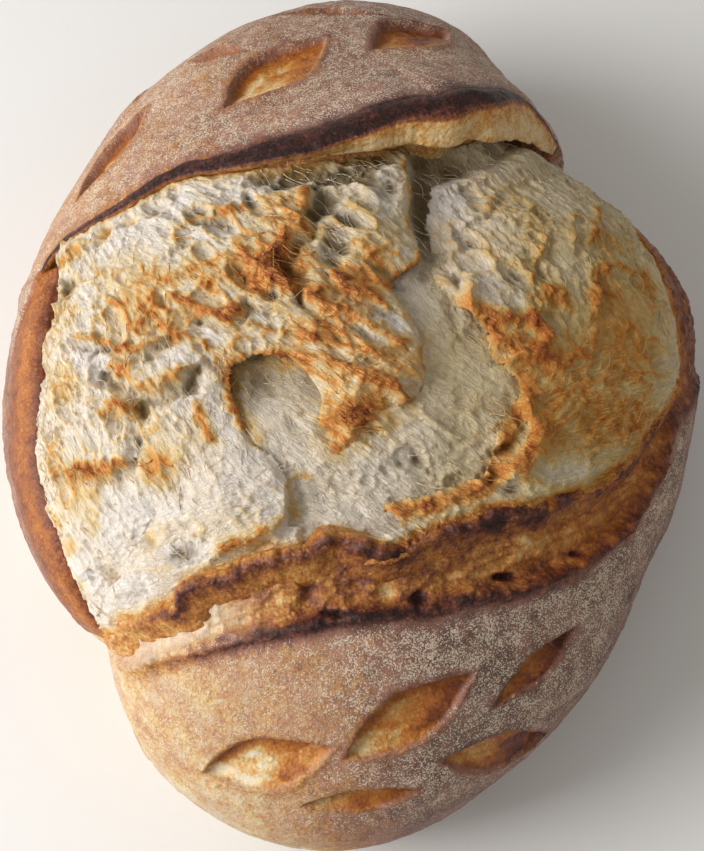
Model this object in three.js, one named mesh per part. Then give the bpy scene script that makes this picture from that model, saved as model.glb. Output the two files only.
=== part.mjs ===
// A round sourdough loaf that burst open along its slash in the oven. One closed solid, in millimetres,
// +Z up, resting on its flat foot, with the origin in the middle of its box at table height.
//
// Places on the upper half are given on the "crust map": the crust peeled off and laid flat, so that
// (x, y) is a bearing from the crown and a distance over the crust. The far edge of the map is the waist,
// the loaf's widest line. From there the side curls in to the foot.
import * as THREE from "three";
import { mergeVertices } from "three/addons/utils/BufferGeometryUtils.js";

// Driving sizes.
const WAIST_HEIGHT = 36;
const CROWN_HEIGHT = 98;
const FOOT_SHARE = 0.8; // radius of the foot, as a share of the waist's
const MAP_STRETCH = 1.25; // length over the crust from crown to waist, as a share of the waist's radius

// The slash let the loaf spread into two lobes that overlap: seen from above, two tilted ellipses.
const BACK_LOBE = { x: -14, y: 20.5, halfWidth: 81, halfLength: 110, tilt: -21.5 };
const FRONT_LOBE = { x: 17, y: -32.5, halfWidth: 72.5, halfLength: 104, tilt: -34 };
const LOBE_BLEND = 6;
// Shallow swellings of each lobe: [bearing in degrees, spread in degrees, height in mm].
const BACK_SWELLINGS = [[60, 9, -3.3], [110, 20, 2.5]];
const FRONT_SWELLINGS = [[18, 14, 4.5], [42, 10, 4.5], [272, 16, 4], [330, 18, -4]];

// Edge of the bloom, the stretched crumb that the burst laid bare, on the crust map, clockwise: the ear's lip
// from left to right, the right-hand notch and side, the front ridge from right to left, and the left side.
const BLOOM_EDGE = [
  [-76, 24.5], [-48, 30.5], [-21, 32], [0, 34.5], [24, 44], [38, 56], [60, 80],
  [76, 84], [84, 62], [84, 38], [90, 14],
  [92, -6], [78, -25.5], [60, -41], [36, -48], [3, -54], [-19, -60], [-46, -75.5], [-65, -92],
  [-82, -88], [-81, -60], [-82, -34], [-80, -14], [-79, 12],
];
const BLOOM_CENTRE = [6, -8];
const BLOOM_RISE = 6; // the crumb's pillow above the dome
const BLOOM_SHOULDER = 24; // how far in from its edge the pillow takes to rise
// Ribs of the crust leave this line of the bloom at right angles, and fan round its ends.
const BLOOM_SPINE = [[-60, -38], [62, 22]];
const RIB_REACH = 80;

// The ear: the flap of crust along the back edge of the bloom, lifted most at its right-hand half.
const EAR_LIFT = 13;
const EAR_OVERHANG = 7;
const EAR_THICKNESS = 6;
const EAR_BACK = 22; // how far behind its lip the flap meets the dome again
// The ridge: the bloom's other edge, low and thick.
const RIDGE_LIFT = 3.5;
const RIDGE_OVERHANG = 1;
const RIDGE_THICKNESS = 4;
const RIDGE_BACK = 5;
const CLEFT = 3.5; // how far the crumb dives below the dome at its edge
const LIP_FADE = [0.7, 0.9]; // the lip sinks back into the side between these shares of the way to the waist
const BLOOM_LIMIT = 0.9; // and there the bloom stops, so the side below stays whole

// The rim: the front crust's own edge, a second ridge below the first, with a sunken band between them.
const RIM_LINE = [[-55, -87], [-30, -78], [0, -72], [30, -69], [58, -63], [80, -52], [105, -27]];
const RIM_LIFT = 2.5;
const RIM_SPREAD = 3;
const BAND_SINK = 2.5;
const BAND_REACH = 14;

// The fault: the crumb tore again across the bloom, between a torn left edge and a torn right edge.
const FAULT_LEFT = [[20, 60], [17, 33], [15, 12], [17, -9], [12, -24], [-2, -38], [-30, -52], [-64, -84]];
const FAULT_RIGHT = [[64, 44], [46, 12], [35, -5], [38, -21], [33, -34], [24, -56]];
const FAULT_DEPTH = 7;
const FAULT_STEEP = 5;
const FAULT_RAMP = 34; // the crumb rises again over this much, up to the right-hand side
const SHELF_RISE = 5;

// Short decorative cuts in the crust, leaf-shaped: middle, length, width and turn, on the crust map.
const CUT_DEPTH = 3;
const CUT_RIM = 0.8;
const CUTS = [
  { x: -21, y: -116, length: 40, width: 17, turn: 24 },
  { x: 16, y: -101, length: 40, width: 15, turn: 36 },
  { x: 46, y: -117, length: 42, width: 14, turn: 10 },
  { x: 50, y: -88, length: 32, width: 9, turn: 40 },
  { x: 6, y: -128, length: 34, width: 8, turn: 6 },
  { x: -17, y: 70, length: 40, width: 15, turn: 50 },
  { x: 19, y: 89, length: 38, width: 15, turn: 60 },
  { x: -63, y: 58, length: 36, width: 14, turn: 54 },
  { x: -36, y: 88, length: 24, width: 9, turn: 30 },
];

// How finely the solid is faceted.
const RIBS = 116;
const BLOOM_RINGS = 20;
const CRUST_RINGS = 10;
const SIDE_RINGS = 5;
const LINE_SAMPLES = 90;

const rad = THREE.MathUtils.degToRad;
const mix = THREE.MathUtils.lerp;
const ease = THREE.MathUtils.smoothstep;

// Height of a bell-shaped swelling round the bearing `at`.
function swelling(bearing, [at, spread, height]) {
  const turn = Math.atan2(Math.sin(bearing - rad(at)), Math.cos(bearing - rad(at)));
  return height * Math.exp(-((turn / rad(spread)) ** 2));
}

// Distance from the origin to a lobe's outline at a bearing.
function lobeReach(bearing, lobe) {
  const c = Math.cos(rad(lobe.tilt));
  const s = Math.sin(rad(lobe.tilt));
  const dx = Math.cos(bearing - rad(lobe.tilt)) / lobe.halfWidth;
  const dy = Math.sin(bearing - rad(lobe.tilt)) / lobe.halfLength;
  const ox = (lobe.x * c + lobe.y * s) / lobe.halfWidth;
  const oy = (lobe.y * c - lobe.x * s) / lobe.halfLength;
  const square = dx * dx + dy * dy;
  const along = dx * ox + dy * oy;
  return (along + Math.sqrt(along * along - square * (ox * ox + oy * oy - 1))) / square;
}

// The larger of two lengths, with the crease between them rounded.
function smoothMax(a, b, blend) {
  const share = THREE.MathUtils.clamp(0.5 + (a - b) / (2 * blend), 0, 1);
  return mix(b, a, share) + blend * share * (1 - share);
}

function waistRadius(bearing) {
  const sum = (swellings) => swellings.reduce((total, one) => total + swelling(bearing, one), 0);
  const back = lobeReach(bearing, BACK_LOBE) + sum(BACK_SWELLINGS);
  const front = lobeReach(bearing, FRONT_LOBE) + sum(FRONT_SWELLINGS);
  return smoothMax(back, front, LOBE_BLEND);
}

// The plain dome at a bearing: share 0 is the crown, 1 the waist and 2 the foot.
function dome(bearing, share) {
  const radius = waistRadius(bearing);
  let reach;
  let height;
  if (share <= 1) {
    const turn = (Math.max(share, 0) * Math.PI) / 2;
    reach = radius * Math.sin(turn);
    height = mix(WAIST_HEIGHT, CROWN_HEIGHT, Math.cos(turn));
  } else {
    const turn = (Math.min(share - 1, 1) * Math.PI) / 2;
    reach = radius * mix(FOOT_SHARE, 1, Math.cos(turn));
    height = WAIST_HEIGHT * (1 - Math.sin(turn));
  }
  return new THREE.Vector3(reach * Math.cos(bearing), reach * Math.sin(bearing), height);
}

// The dome under a place on the crust map.
function domeAt(x, y) {
  const bearing = Math.atan2(y, x);
  return dome(bearing, Math.hypot(x, y) / (MAP_STRETCH * waistRadius(bearing)));
}

// The dome's outward direction there, from two short steps on the map.
function outwardAt(x, y) {
  const step = 0.5;
  const here = domeAt(x, y);
  const east = domeAt(x + step, y).sub(here);
  const north = domeAt(x, y + step).sub(here);
  return east.cross(north).normalize();
}

// A smooth line through points on the crust map, sampled evenly.
function smoothLine(points, closed = false) {
  const through = points.map(([x, y]) => new THREE.Vector3(x, y, 0));
  return new THREE.CatmullRomCurve3(through, closed, "centripetal").getSpacedPoints(LINE_SAMPLES);
}

const rimLine = smoothLine(RIM_LINE);
const faultLeft = smoothLine(FAULT_LEFT);
const faultRight = smoothLine(FAULT_RIGHT);

// Distance from a place to a line, positive on the line's left-hand side.
function sideOf(line, x, y) {
  let best = Infinity;
  let side = 1;
  for (let i = 1; i < line.length; i++) {
    const a = line[i - 1];
    const b = line[i];
    const dx = b.x - a.x;
    const dy = b.y - a.y;
    const along = THREE.MathUtils.clamp(((x - a.x) * dx + (y - a.y) * dy) / (dx * dx + dy * dy), 0, 1);
    const away = Math.hypot(x - a.x - along * dx, y - a.y - along * dy);
    if (away < best) {
      best = away;
      side = Math.sign(dx * (y - a.y) - dy * (x - a.x)) || 1;
    }
  }
  return side * best;
}

// Relief of one leaf-shaped cut: a hollow with a low raised rim.
function cutRelief(x, y, cut) {
  const c = Math.cos(rad(cut.turn));
  const s = Math.sin(rad(cut.turn));
  const along = ((x - cut.x) * c + (y - cut.y) * s) / (cut.length / 2);
  const across = (-(x - cut.x) * s + (y - cut.y) * c) / (cut.width / 2);
  const edge = along * along + Math.abs(across) * (1 + 0.4 * along * along);
  return CUT_RIM * Math.exp(-(((edge - 1.15) / 0.25) ** 2)) - CUT_DEPTH * (1 - ease(edge, 0.35, 1.05));
}

// Relief of the crust outside the bloom.
function crustRelief(x, y) {
  const fromRim = sideOf(rimLine, x, y);
  const onFront = ease(-y, 10, 40);
  const rim = RIM_LIFT * Math.exp(-((fromRim / RIM_SPREAD) ** 2));
  const band = fromRim > 0 ? BAND_SINK * ease(fromRim, 0, 5) * (1 - ease(fromRim, BAND_REACH, BAND_REACH + 4)) : 0;
  return CUTS.reduce((total, cut) => total + cutRelief(x, y, cut), onFront * (rim - band));
}

// Relief of the bloom: a pillow, split by the fault.
function bloomRelief(x, y, fromEdge) {
  const pillow = mix(-CLEFT, BLOOM_RISE, Math.sqrt(ease(fromEdge, 0, BLOOM_SHOULDER)));
  const pastLeft = ease(sideOf(faultLeft, x, y), -FAULT_STEEP, FAULT_STEEP);
  const onShelf = ease(sideOf(faultRight, x, y), -FAULT_STEEP, FAULT_STEEP) * ease(-y, -20, 0);
  const ramp = 1 - ease(sideOf(faultLeft, x, y), FAULT_RAMP * 0.4, FAULT_RAMP);
  const inside = ease(fromEdge, 0, 14);
  return pillow - inside * pastLeft * Math.max(FAULT_DEPTH * ramp - SHELF_RISE * onShelf, 0);
}

// Where the rib through a place on the bloom's edge meets the waist.
function ribEnd(x, y) {
  const [[x0, y0], [x1, y1]] = BLOOM_SPINE;
  const length = Math.hypot(x1 - x0, y1 - y0);
  const [ux, uy] = [(x1 - x0) / length, (y1 - y0) / length];
  const along = THREE.MathUtils.clamp((x - x0) * ux + (y - y0) * uy, 0, length);
  const out = new THREE.Vector2(x - x0 - along * ux, y - y0 - along * uy).normalize();
  return Math.atan2(y + RIB_REACH * out.y, x + RIB_REACH * out.x);
}

// How much of an ear the edge is at a place: 1 along the lifted back lip, 0 along the front ridge.
function earShare(x, y) {
  const aboveSpine = ease(y - 0.45 * x, 12, 32);
  return aboveSpine * mix(0.25, 1, ease(x, -55, 8));
}

// One rib: its points from the bloom's centre over the lip, down the side and under to the foot.
function rib(outlineX, outlineY) {
  const toWaist = Math.hypot(outlineX, outlineY) / (MAP_STRETCH * waistRadius(Math.atan2(outlineY, outlineX)));
  const edgeX = outlineX * Math.min(1, BLOOM_LIMIT / toWaist);
  const edgeY = outlineY * Math.min(1, BLOOM_LIMIT / toWaist);
  const [cx, cy] = BLOOM_CENTRE;
  const inward = new THREE.Vector2(cx - edgeX, cy - edgeY);
  const edgeLength = inward.length();
  inward.normalize();
  const ear = earShare(edgeX, edgeY);
  const high = 1 - 0.9 * ease(toWaist, ...LIP_FADE);
  const lift = high * mix(RIDGE_LIFT, EAR_LIFT, ear);
  const overhang = high * mix(RIDGE_OVERHANG, EAR_OVERHANG, ear);
  const thickness = high * mix(RIDGE_THICKNESS, EAR_THICKNESS, ear);
  const back = mix(RIDGE_BACK, EAR_BACK, ear);
  const raised = (x, y, height) => domeAt(x, y).addScaledVector(outwardAt(x, y), height);
  const points = [];

  // The bloom, from the ring next to its centre to the cleft under the lip.
  for (let ring = 1; ring <= BLOOM_RINGS; ring++) {
    const share = ring / BLOOM_RINGS;
    const x = mix(cx, edgeX, share);
    const y = mix(cy, edgeY, share);
    points.push(raised(x, y, mix(1, high, share ** 3) * bloomRelief(x, y, edgeLength * (1 - share))));
  }
  // The lip: its underside, its edge and its top, leaning inwards over the cleft.
  const under = lift - thickness;
  const lip = [[0, mix(-high * CLEFT, under, 0.6)], [0.75, under], [1, under + thickness / 2], [0.7, lift]];
  for (const [lean, height] of lip) {
    const x = edgeX + inward.x * overhang * lean;
    const y = edgeY + inward.y * overhang * lean;
    points.push(raised(x, y, height));
  }
  // The crust, from behind the lip to the waist, closer together near the lip.
  const bearing = ribEnd(edgeX, edgeY);
  const reach = MAP_STRETCH * waistRadius(bearing);
  const [endX, endY] = [reach * Math.cos(bearing), reach * Math.sin(bearing)];
  const gap = Math.hypot(endX - edgeX, endY - edgeY);
  for (let ring = 1; ring <= CRUST_RINGS; ring++) {
    const share = (ring / CRUST_RINGS) ** 1.3;
    const x = mix(edgeX, endX, share);
    const y = mix(edgeY, endY, share);
    const flap = lift * Math.exp(-(((gap * share) / back) ** 2));
    const fade = 1 - ease(share, 0.75, 1);
    points.push(raised(x, y, fade * (flap + crustRelief(x, y))));
  }
  // The side, down to the foot.
  for (let ring = 1; ring <= SIDE_RINGS; ring++) points.push(dome(bearing, 1 + ring / SIDE_RINGS));
  return points;
}

// The whole loaf: ribs joined round the bloom, closed by a fan at the bloom's centre and one under the foot.
function loafGeometry() {
  const through = BLOOM_EDGE.map(([x, y]) => new THREE.Vector3(x, y, 0));
  const edge = new THREE.CatmullRomCurve3(through, true, "centripetal");
  const ribs = edge.getSpacedPoints(RIBS).slice(0, RIBS).map((p) => rib(p.x, p.y));
  const [cx, cy] = BLOOM_CENTRE;
  const top = domeAt(cx, cy).addScaledVector(outwardAt(cx, cy), BLOOM_RISE);
  const bottom = new THREE.Vector3(0, 0, 0);
  const corners = [];
  for (let i = 0; i < RIBS; i++) {
    const here = ribs[i];
    const next = ribs[(i + 1) % RIBS]; // clockwise of this rib
    corners.push(top, next[0], here[0]);
    for (let j = 1; j < here.length; j++) {
      corners.push(here[j - 1], next[j - 1], next[j]);
      corners.push(here[j - 1], next[j], here[j]);
    }
    corners.push(here.at(-1), next.at(-1), bottom);
  }
  const geometry = mergeVertices(new THREE.BufferGeometry().setFromPoints(corners), 1e-3);
  geometry.computeBoundingBox();
  const middle = geometry.boundingBox.getCenter(new THREE.Vector3());
  geometry.translate(-middle.x, -middle.y, 0);
  geometry.computeVertexNormals();
  return geometry;
}

const crust = new THREE.MeshStandardMaterial({ color: 0xb9824f, roughness: 0.8, metalness: 0 });
const loaf = new THREE.Mesh(loafGeometry(), crust);
loaf.name = "loaf";

const part = new THREE.Group();
part.add(loaf);

export default part;
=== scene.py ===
"""A round sourdough loaf, burst open along its slash, as a Blender 4.5 add-on that is run as a script."""

import math

import bpy
import numpy as np
from bpy.props import FloatProperty, FloatVectorProperty, IntProperty, PointerProperty
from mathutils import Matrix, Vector

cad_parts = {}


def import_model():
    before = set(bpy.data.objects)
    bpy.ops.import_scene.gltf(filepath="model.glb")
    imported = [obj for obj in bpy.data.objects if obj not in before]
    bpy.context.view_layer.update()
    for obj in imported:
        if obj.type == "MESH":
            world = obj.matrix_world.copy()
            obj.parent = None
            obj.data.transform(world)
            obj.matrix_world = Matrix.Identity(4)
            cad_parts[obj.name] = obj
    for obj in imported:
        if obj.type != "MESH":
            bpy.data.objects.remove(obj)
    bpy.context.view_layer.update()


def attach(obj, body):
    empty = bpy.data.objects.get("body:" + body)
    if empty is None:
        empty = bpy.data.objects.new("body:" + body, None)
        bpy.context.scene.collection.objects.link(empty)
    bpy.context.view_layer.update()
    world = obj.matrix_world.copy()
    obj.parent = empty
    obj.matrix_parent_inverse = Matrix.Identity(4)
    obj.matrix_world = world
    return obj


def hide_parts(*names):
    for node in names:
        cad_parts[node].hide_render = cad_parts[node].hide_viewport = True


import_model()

bl_info = {
    "name": "Sourdough Loaf",
    "version": (1, 0, 0),
    "blender": (4, 5, 0),
    "location": "View3D > Sidebar > Loaf",
    "description": "Builds a hand-shaped sourdough loaf: floured crust, ear, ridge, torn crumb and its strands",
    "category": "Add Mesh",
}

MM = 0.001

# ---------------------------------------------------------------------------------------------------
# The dome. Places on the loaf are given on the crust map, in millimetres: the crust peeled off and laid
# flat, so that (x, y) is a bearing from the crown and a distance over the crust, out to the waist.
# ---------------------------------------------------------------------------------------------------

WAIST_HEIGHT = 36.0
CROWN_HEIGHT = 98.0
FOOT_SHARE = 0.8
MAP_STRETCH = 1.25
BACK_LOBE = dict(x=-14, y=20.5, half_width=81, half_length=110, tilt=-21.5)
FRONT_LOBE = dict(x=17, y=-32.5, half_width=72.5, half_length=104, tilt=-34)
LOBE_BLEND = 2.0
BACK_SWELLINGS = ((60, 9, -3.3), (110, 20, 2.5))
FRONT_SWELLINGS = ((18, 14, 4.5), (42, 10, 4.5), (272, 16, 4), (330, 18, -4))

# The camera stands in front, this far up, and looks at the loaf's middle.
VIEW_ELEVATION = 68.0
VIEW_DISTANCE = 575.0
VIEW_TARGET = (1.0, -12.0, 43.0)
VIEW_LENS = 85.0


def mix(a, b, share):
    """A blend of a and b, by b's share."""
    return a + (b - a) * share


def ease(value, low, high):
    """A smooth step from 0 at low to 1 at high, where low may be the greater of the two."""
    share = np.clip((value - low) / (high - low), 0, 1)
    return share * share * (3 - 2 * share)


def bell(value, width):
    """1 where the value is 0, fading out within about two widths."""
    return np.exp(-((value / width) ** 2))


def swelling(bearing, at, spread, height):
    """A bulge of the outline round a bearing in degrees."""
    turn = (bearing - math.radians(at) + np.pi) % (2 * np.pi) - np.pi
    return height * bell(turn, math.radians(spread))


def lobe_reach(bearing, lobe):
    """Distance from the origin to a tilted ellipse's outline at a bearing."""
    tilt = math.radians(lobe["tilt"])
    dx = np.cos(bearing - tilt) / lobe["half_width"]
    dy = np.sin(bearing - tilt) / lobe["half_length"]
    ox = (lobe["x"] * math.cos(tilt) + lobe["y"] * math.sin(tilt)) / lobe["half_width"]
    oy = (lobe["y"] * math.cos(tilt) - lobe["x"] * math.sin(tilt)) / lobe["half_length"]
    square = dx * dx + dy * dy
    along = dx * ox + dy * oy
    return (along + np.sqrt(along * along - square * (ox * ox + oy * oy - 1))) / square


def waist_radius(bearing):
    """The outline at the waist: the further of the two lobes, blended where they meet."""
    back = lobe_reach(bearing, BACK_LOBE)
    front = lobe_reach(bearing, FRONT_LOBE)
    for each in BACK_SWELLINGS:
        back = back + swelling(bearing, *each)
    for each in FRONT_SWELLINGS:
        front = front + swelling(bearing, *each)
    share = np.clip(0.5 + (back - front) / (2 * LOBE_BLEND), 0, 1)
    return mix(front, back, share) + LOBE_BLEND * share * (1 - share)


def waist_share(x, y):
    """How far out a place on the map is, from 0 at the crown to 1 at the waist."""
    return np.hypot(x, y) / (MAP_STRETCH * waist_radius(np.arctan2(y, x)))


def centring():
    """The shift that puts the middle of the waist's box on the frame's origin."""
    bearing = np.linspace(0, 2 * np.pi, 2000)
    radius = waist_radius(bearing)
    x = radius * np.cos(bearing)
    y = radius * np.sin(bearing)
    return -(x.min() + x.max()) / 2, -(y.min() + y.max()) / 2


SHIFT = centring()


def dome(x, y):
    """The plain dome under a place on the map; past the waist it curls in to the foot, then runs to its middle."""
    bearing = np.arctan2(y, x)
    radius = waist_radius(bearing)
    share = np.hypot(x, y) / (MAP_STRETCH * radius)
    high = np.clip(share, 0, 1) * np.pi / 2
    low = np.clip(share - 1, 0, 1) * np.pi / 2
    foot = np.clip(share - 2, 0, 1)
    reach = radius * np.sin(high)
    reach = np.where(share > 1, radius * mix(FOOT_SHARE, 1, np.cos(low)), reach)
    reach = np.where(share > 2, radius * FOOT_SHARE * (1 - foot), reach)
    height = mix(WAIST_HEIGHT, CROWN_HEIGHT, np.cos(high))
    height = np.where(share > 1, WAIST_HEIGHT * (1 - np.sin(low)), height)
    return np.stack([reach * np.cos(bearing) + SHIFT[0], reach * np.sin(bearing) + SHIFT[1], height], -1)


def outward(x, y):
    """The dome's outward direction."""
    step = 0.4
    east = dome(x + step, y) - dome(x - step, y)
    north = dome(x, y + step) - dome(x, y - step)
    out = np.cross(east, north)
    return out / np.maximum(np.linalg.norm(out, axis=-1, keepdims=True), 1e-9)


# How much fuller or flatter the loaf's sides are than the dome: bearing in degrees, mm.
SIDES = ((-180, -0.8), (-150, 0), (-110, 0), (-95, 1), (-81, 2.2), (-65, 3), (-46, 2.2), (-35, 1.6), (-23, 3),
         (-12, 1.5), (-5, 1.6), (4, 2.4), (12, 2.9), (20, 1.9), (30, 1.2), (38, -1.5), (45, -3), (52, -1),
         (66, -1.6), (75, 0), (90, 0), (103, -1.4), (115, -2.2), (125, -1.2), (138, -1.9), (152, -1.5),
         (165, -1.2), (180, -0.8))


def side_swell(x, y):
    """The sides' extra fullness, from halfway out to a little below the waist."""
    share = waist_share(x, y)
    fuller = np.interp(np.degrees(np.arctan2(y, x)), *zip(*SIDES))
    return fuller * ease(share, 0.55, 0.9) * ease(share, 1.6, 1.25)


def raised(x, y, height):
    """A place on the map at a height over the loaf's sides, in mm."""
    return dome(x, y) + outward(x, y) * np.asarray(height + side_swell(x, y))[..., None]


def eye():
    """Where the camera stands, in mm."""
    up = math.radians(VIEW_ELEVATION)
    return np.array(VIEW_TARGET) + VIEW_DISTANCE * np.array([0, -math.cos(up), math.sin(up)])


def sighted(points, height):
    """Places named as they are seen on the plain dome, moved so that they are still seen there when raised."""
    points = np.array(points, float)
    x, y = points[:, 0].copy(), points[:, 1].copy()
    height = np.broadcast_to(np.asarray(height, float), x.shape)
    goal = dome(x, y)
    sight = goal - eye()
    sight /= np.linalg.norm(sight, axis=-1, keepdims=True)
    flat = lambda vector: vector - sight * (vector * sight).sum(-1, keepdims=True)
    step = 0.5
    for _ in range(8):
        here = raised(x, y, height)
        miss = flat(here - goal)
        east = flat(raised(x + step, y, height) - here) / step
        north = flat(raised(x, y + step, height) - here) / step
        ee, nn, en = (east * east).sum(-1), (north * north).sum(-1), (east * north).sum(-1)
        me, mn = (miss * east).sum(-1), (miss * north).sum(-1)
        room = np.maximum(ee * nn - en * en, 1e-3)
        x -= np.clip((me * nn - mn * en) / room, -3, 3)
        y -= np.clip((mn * ee - me * en) / room, -3, 3)
    return np.column_stack([x, y, points[:, 2:]])


# ---------------------------------------------------------------------------------------------------
# Noise, cells and lines on the map.
# ---------------------------------------------------------------------------------------------------

TABLE = 256  # side of the table of random numbers that noise and cells are read from
FAR = 9.0  # more cells away than any seed can be


def grain(x, y, cell, seed):
    """Smooth random swell of a given size, from -1 to 1."""
    table = np.random.RandomState(seed).rand(TABLE, TABLE)
    gx, gy = x / cell + 57.3, y / cell + 91.7
    ix, iy = np.floor(gx).astype(int), np.floor(gy).astype(int)
    fx, fy = gx - ix, gy - iy
    fx, fy = fx * fx * fx * (fx * (fx * 6 - 15) + 10), fy * fy * fy * (fy * (fy * 6 - 15) + 10)
    corner = lambda i, j: table[(ix + i) % TABLE, (iy + j) % TABLE]
    return 2 * mix(mix(corner(0, 0), corner(1, 0), fx), mix(corner(0, 1), corner(1, 1), fx), fy) - 1


def rough(x, y, cell, seed, octaves=4, fade=0.5):
    """Swells of halving size on each other, from -1 to 1."""
    total, weight, sum_of = 0.0, 1.0, 0.0
    for octave in range(octaves):
        total = total + weight * grain(x, y, cell / 2 ** octave, seed + octave)
        sum_of += weight
        weight *= fade
    return total / sum_of


def cells(x, y, size, seed):
    """Distances in mm to the nearest and next nearest of scattered seeds, and a random number for the nearest."""
    table = np.random.RandomState(seed).rand(TABLE, TABLE, 3)
    gx, gy = x / size + 63.1, y / size + 45.9
    ix, iy = np.floor(gx).astype(int), np.floor(gy).astype(int)
    near = np.full(np.shape(x), FAR)
    after = near.copy()
    luck = np.zeros(np.shape(x))
    for i in (-1, 0, 1):
        for j in (-1, 0, 1):
            seat = table[(ix + i) % TABLE, (iy + j) % TABLE]
            away = np.hypot(ix + i + seat[..., 0] - gx, iy + j + seat[..., 1] - gy)
            closer = away < near
            after = np.where(closer, near, np.minimum(after, away))
            luck = np.where(closer, seat[..., 2], luck)
            near = np.where(closer, away, near)
    return near * size, after * size, luck


def turned(x, y, degrees):
    """Places along and across a direction."""
    c, s = math.cos(math.radians(degrees)), math.sin(math.radians(degrees))
    return x * c + y * s, y * c - x * s


def smooth_line(points, step=1.5, closed=False):
    """A curve through points, which may carry more columns, with samples about a step apart."""
    points = np.array(points, float)
    if closed:
        points = np.vstack([points[-1], points, points[0], points[1]])
    else:
        points = np.vstack([2 * points[0] - points[1], points, 2 * points[-1] - points[-2]])
    out = []
    for a, b, c, d in zip(points, points[1:], points[2:], points[3:]):
        count = max(2, int(np.hypot(*(c - b)[:2]) / step))
        t = np.arange(count)[:, None] / count
        out.append(0.5 * (2 * b + (c - a) * t + (2 * a - 5 * b + 4 * c - d) * t ** 2
                          + (3 * b - a - 3 * c + d) * t ** 3))
    out.append(points[-2][None] if not closed else out[0][:1])
    return np.vstack(out)


STRIDE = 4  # samples of a line that the first search steps over
BATCH = 20000  # places searched at a time, so that memory stays small


def beside(line, x, y):
    """Signed distance to a line, positive on its left, with the line's place and extra columns there."""
    signed, extra, _ = from_line(line, x, y)
    return signed, extra


def from_line(line, x, y):
    """As beside, with the direction in which the signed distance grows."""
    x, y = np.atleast_1d(np.asarray(x, float)), np.atleast_1d(np.asarray(y, float))
    coarse = line[::STRIDE, :2]
    nearest = np.concatenate([
        np.argmin((x[i:i + BATCH, None] - coarse[:, 0]) ** 2 + (y[i:i + BATCH, None] - coarse[:, 1]) ** 2, 1)
        for i in range(0, len(x), BATCH)])
    best = np.full(len(x), np.inf)
    side = np.ones(len(x))
    away = np.zeros((len(x), 2))
    extra = np.zeros((len(x), line.shape[1] - 1))
    for offset in range(-STRIDE - 1, STRIDE + 2):
        i = np.clip(nearest * STRIDE + offset, 0, len(line) - 2)
        a, b = line[i], line[i + 1]
        run = b[:, :2] - a[:, :2]
        share = ((x - a[:, 0]) * run[:, 0] + (y - a[:, 1]) * run[:, 1]) / np.maximum((run ** 2).sum(1), 1e-9)
        share = np.clip(share, 0, 1)
        dx, dy = x - a[:, 0] - share * run[:, 0], y - a[:, 1] - share * run[:, 1]
        closer = dx * dx + dy * dy < best
        best = np.where(closer, dx * dx + dy * dy, best)
        side = np.where(closer, np.sign(run[:, 0] * dy - run[:, 1] * dx), side)
        away = np.where(closer[:, None], np.stack([dx, dy], -1), away)
        column = np.column_stack([(i + share) / (len(line) - 1), a[:, 2:] + share[:, None] * (b - a)[:, 2:]])
        extra = np.where(closer[:, None], column, extra)
    side = np.where(side == 0, 1, side)
    far = np.sqrt(best)
    return far * side, extra, away * (side / np.maximum(far, 1e-6))[:, None]


def near_box(line, x, y, reach):
    """Which places are within reach of a line's box."""
    low, high = line[:, :2].min(0) - reach, line[:, :2].max(0) + reach
    return (x > low[0]) & (x < high[0]) & (y > low[1]) & (y < high[1])


# ---------------------------------------------------------------------------------------------------
# What the burst looks like: lines and marks on the map.
# ---------------------------------------------------------------------------------------------------

# The ear's lip from left to right: x, y, lift, width of its burnt edge, width of the ivory face below it.
EAR_ROWS = (
    (-84, 22, 1, 1.5, 0.4), (-80, 27, 1.2, 2, 0.4), (-75, 28.7, 1.5, 2.5, 0.5), (-67, 30, 2, 2.5, 0.5),
    (-58, 31, 2.6, 3, 0.5), (-50, 33, 3, 3.5, 0.5), (-42, 36, 3.4, 4, 0.5), (-37, 36.5, 3.6, 4.5, 0.6),
    (-28, 35.4, 4.1, 5.5, 0.6), (-18, 36, 4.8, 6.5, 0.7), (-9, 37.5, 5.9, 7.5, 0.8), (0, 41, 7, 7.5, 1.2),
    (10, 46.5, 8.7, 7.5, 1.8), (18, 50.5, 10, 7.5, 2.4), (26, 53.5, 11.3, 8, 2.8), (31, 58, 12, 8, 3.0),
    (35, 62.5, 12, 7.5, 4.2), (40, 67, 12, 6.5, 5.6), (45, 73, 10.5, 5.5, 7.0), (49, 78, 9, 4, 8.0),
    (53.5, 81.5, 7.5, 3, 8.0), (58, 81.5, 6, 2.2, 6.5), (61.5, 78, 4.5, 1.6, 4.5), (64, 74, 3, 1.2, 2.5),
    (65.5, 71.5, 2, 1, 1.2))
EAR_LINE = smooth_line(sighted(EAR_ROWS, [row[2] for row in EAR_ROWS]))

# The front ridge, from the left tip round the right-hand side: x, y, lift.
RIDGE_ROWS = (
    (-84, -95, 0.5), (-80, -92, 1), (-73, -89, 1.6), (-67, -87, 2.2), (-60, -80, 3), (-53, -77.5, 3.4),
    (-45, -73, 3.8), (-39, -71, 4), (-37, -67.5, 4), (-32, -64, 4.2), (-25, -62, 4.4), (-17, -58, 4.6),
    (-8, -57, 4.8), (-2, -53, 5), (10, -57, 5), (20, -53, 4.6), (28, -50, 4.6), (37, -47.5, 4.4),
    (45, -47, 4.2), (53, -44, 4), (62, -42, 3.4), (68, -37, 3), (74, -33, 2.6), (78, -27.5, 2.2),
    (83, -22, 1.8), (87, -17.5, 1.4), (91, -12, 1.2), (93, -6, 1), (93, 0, 1), (92, 12, 1), (89, 18, 1),
    (86, 25, 0.8), (82, 33, 0.5))
RIDGE_LINE = smooth_line(sighted(RIDGE_ROWS, [row[2] for row in RIDGE_ROWS]))

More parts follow.
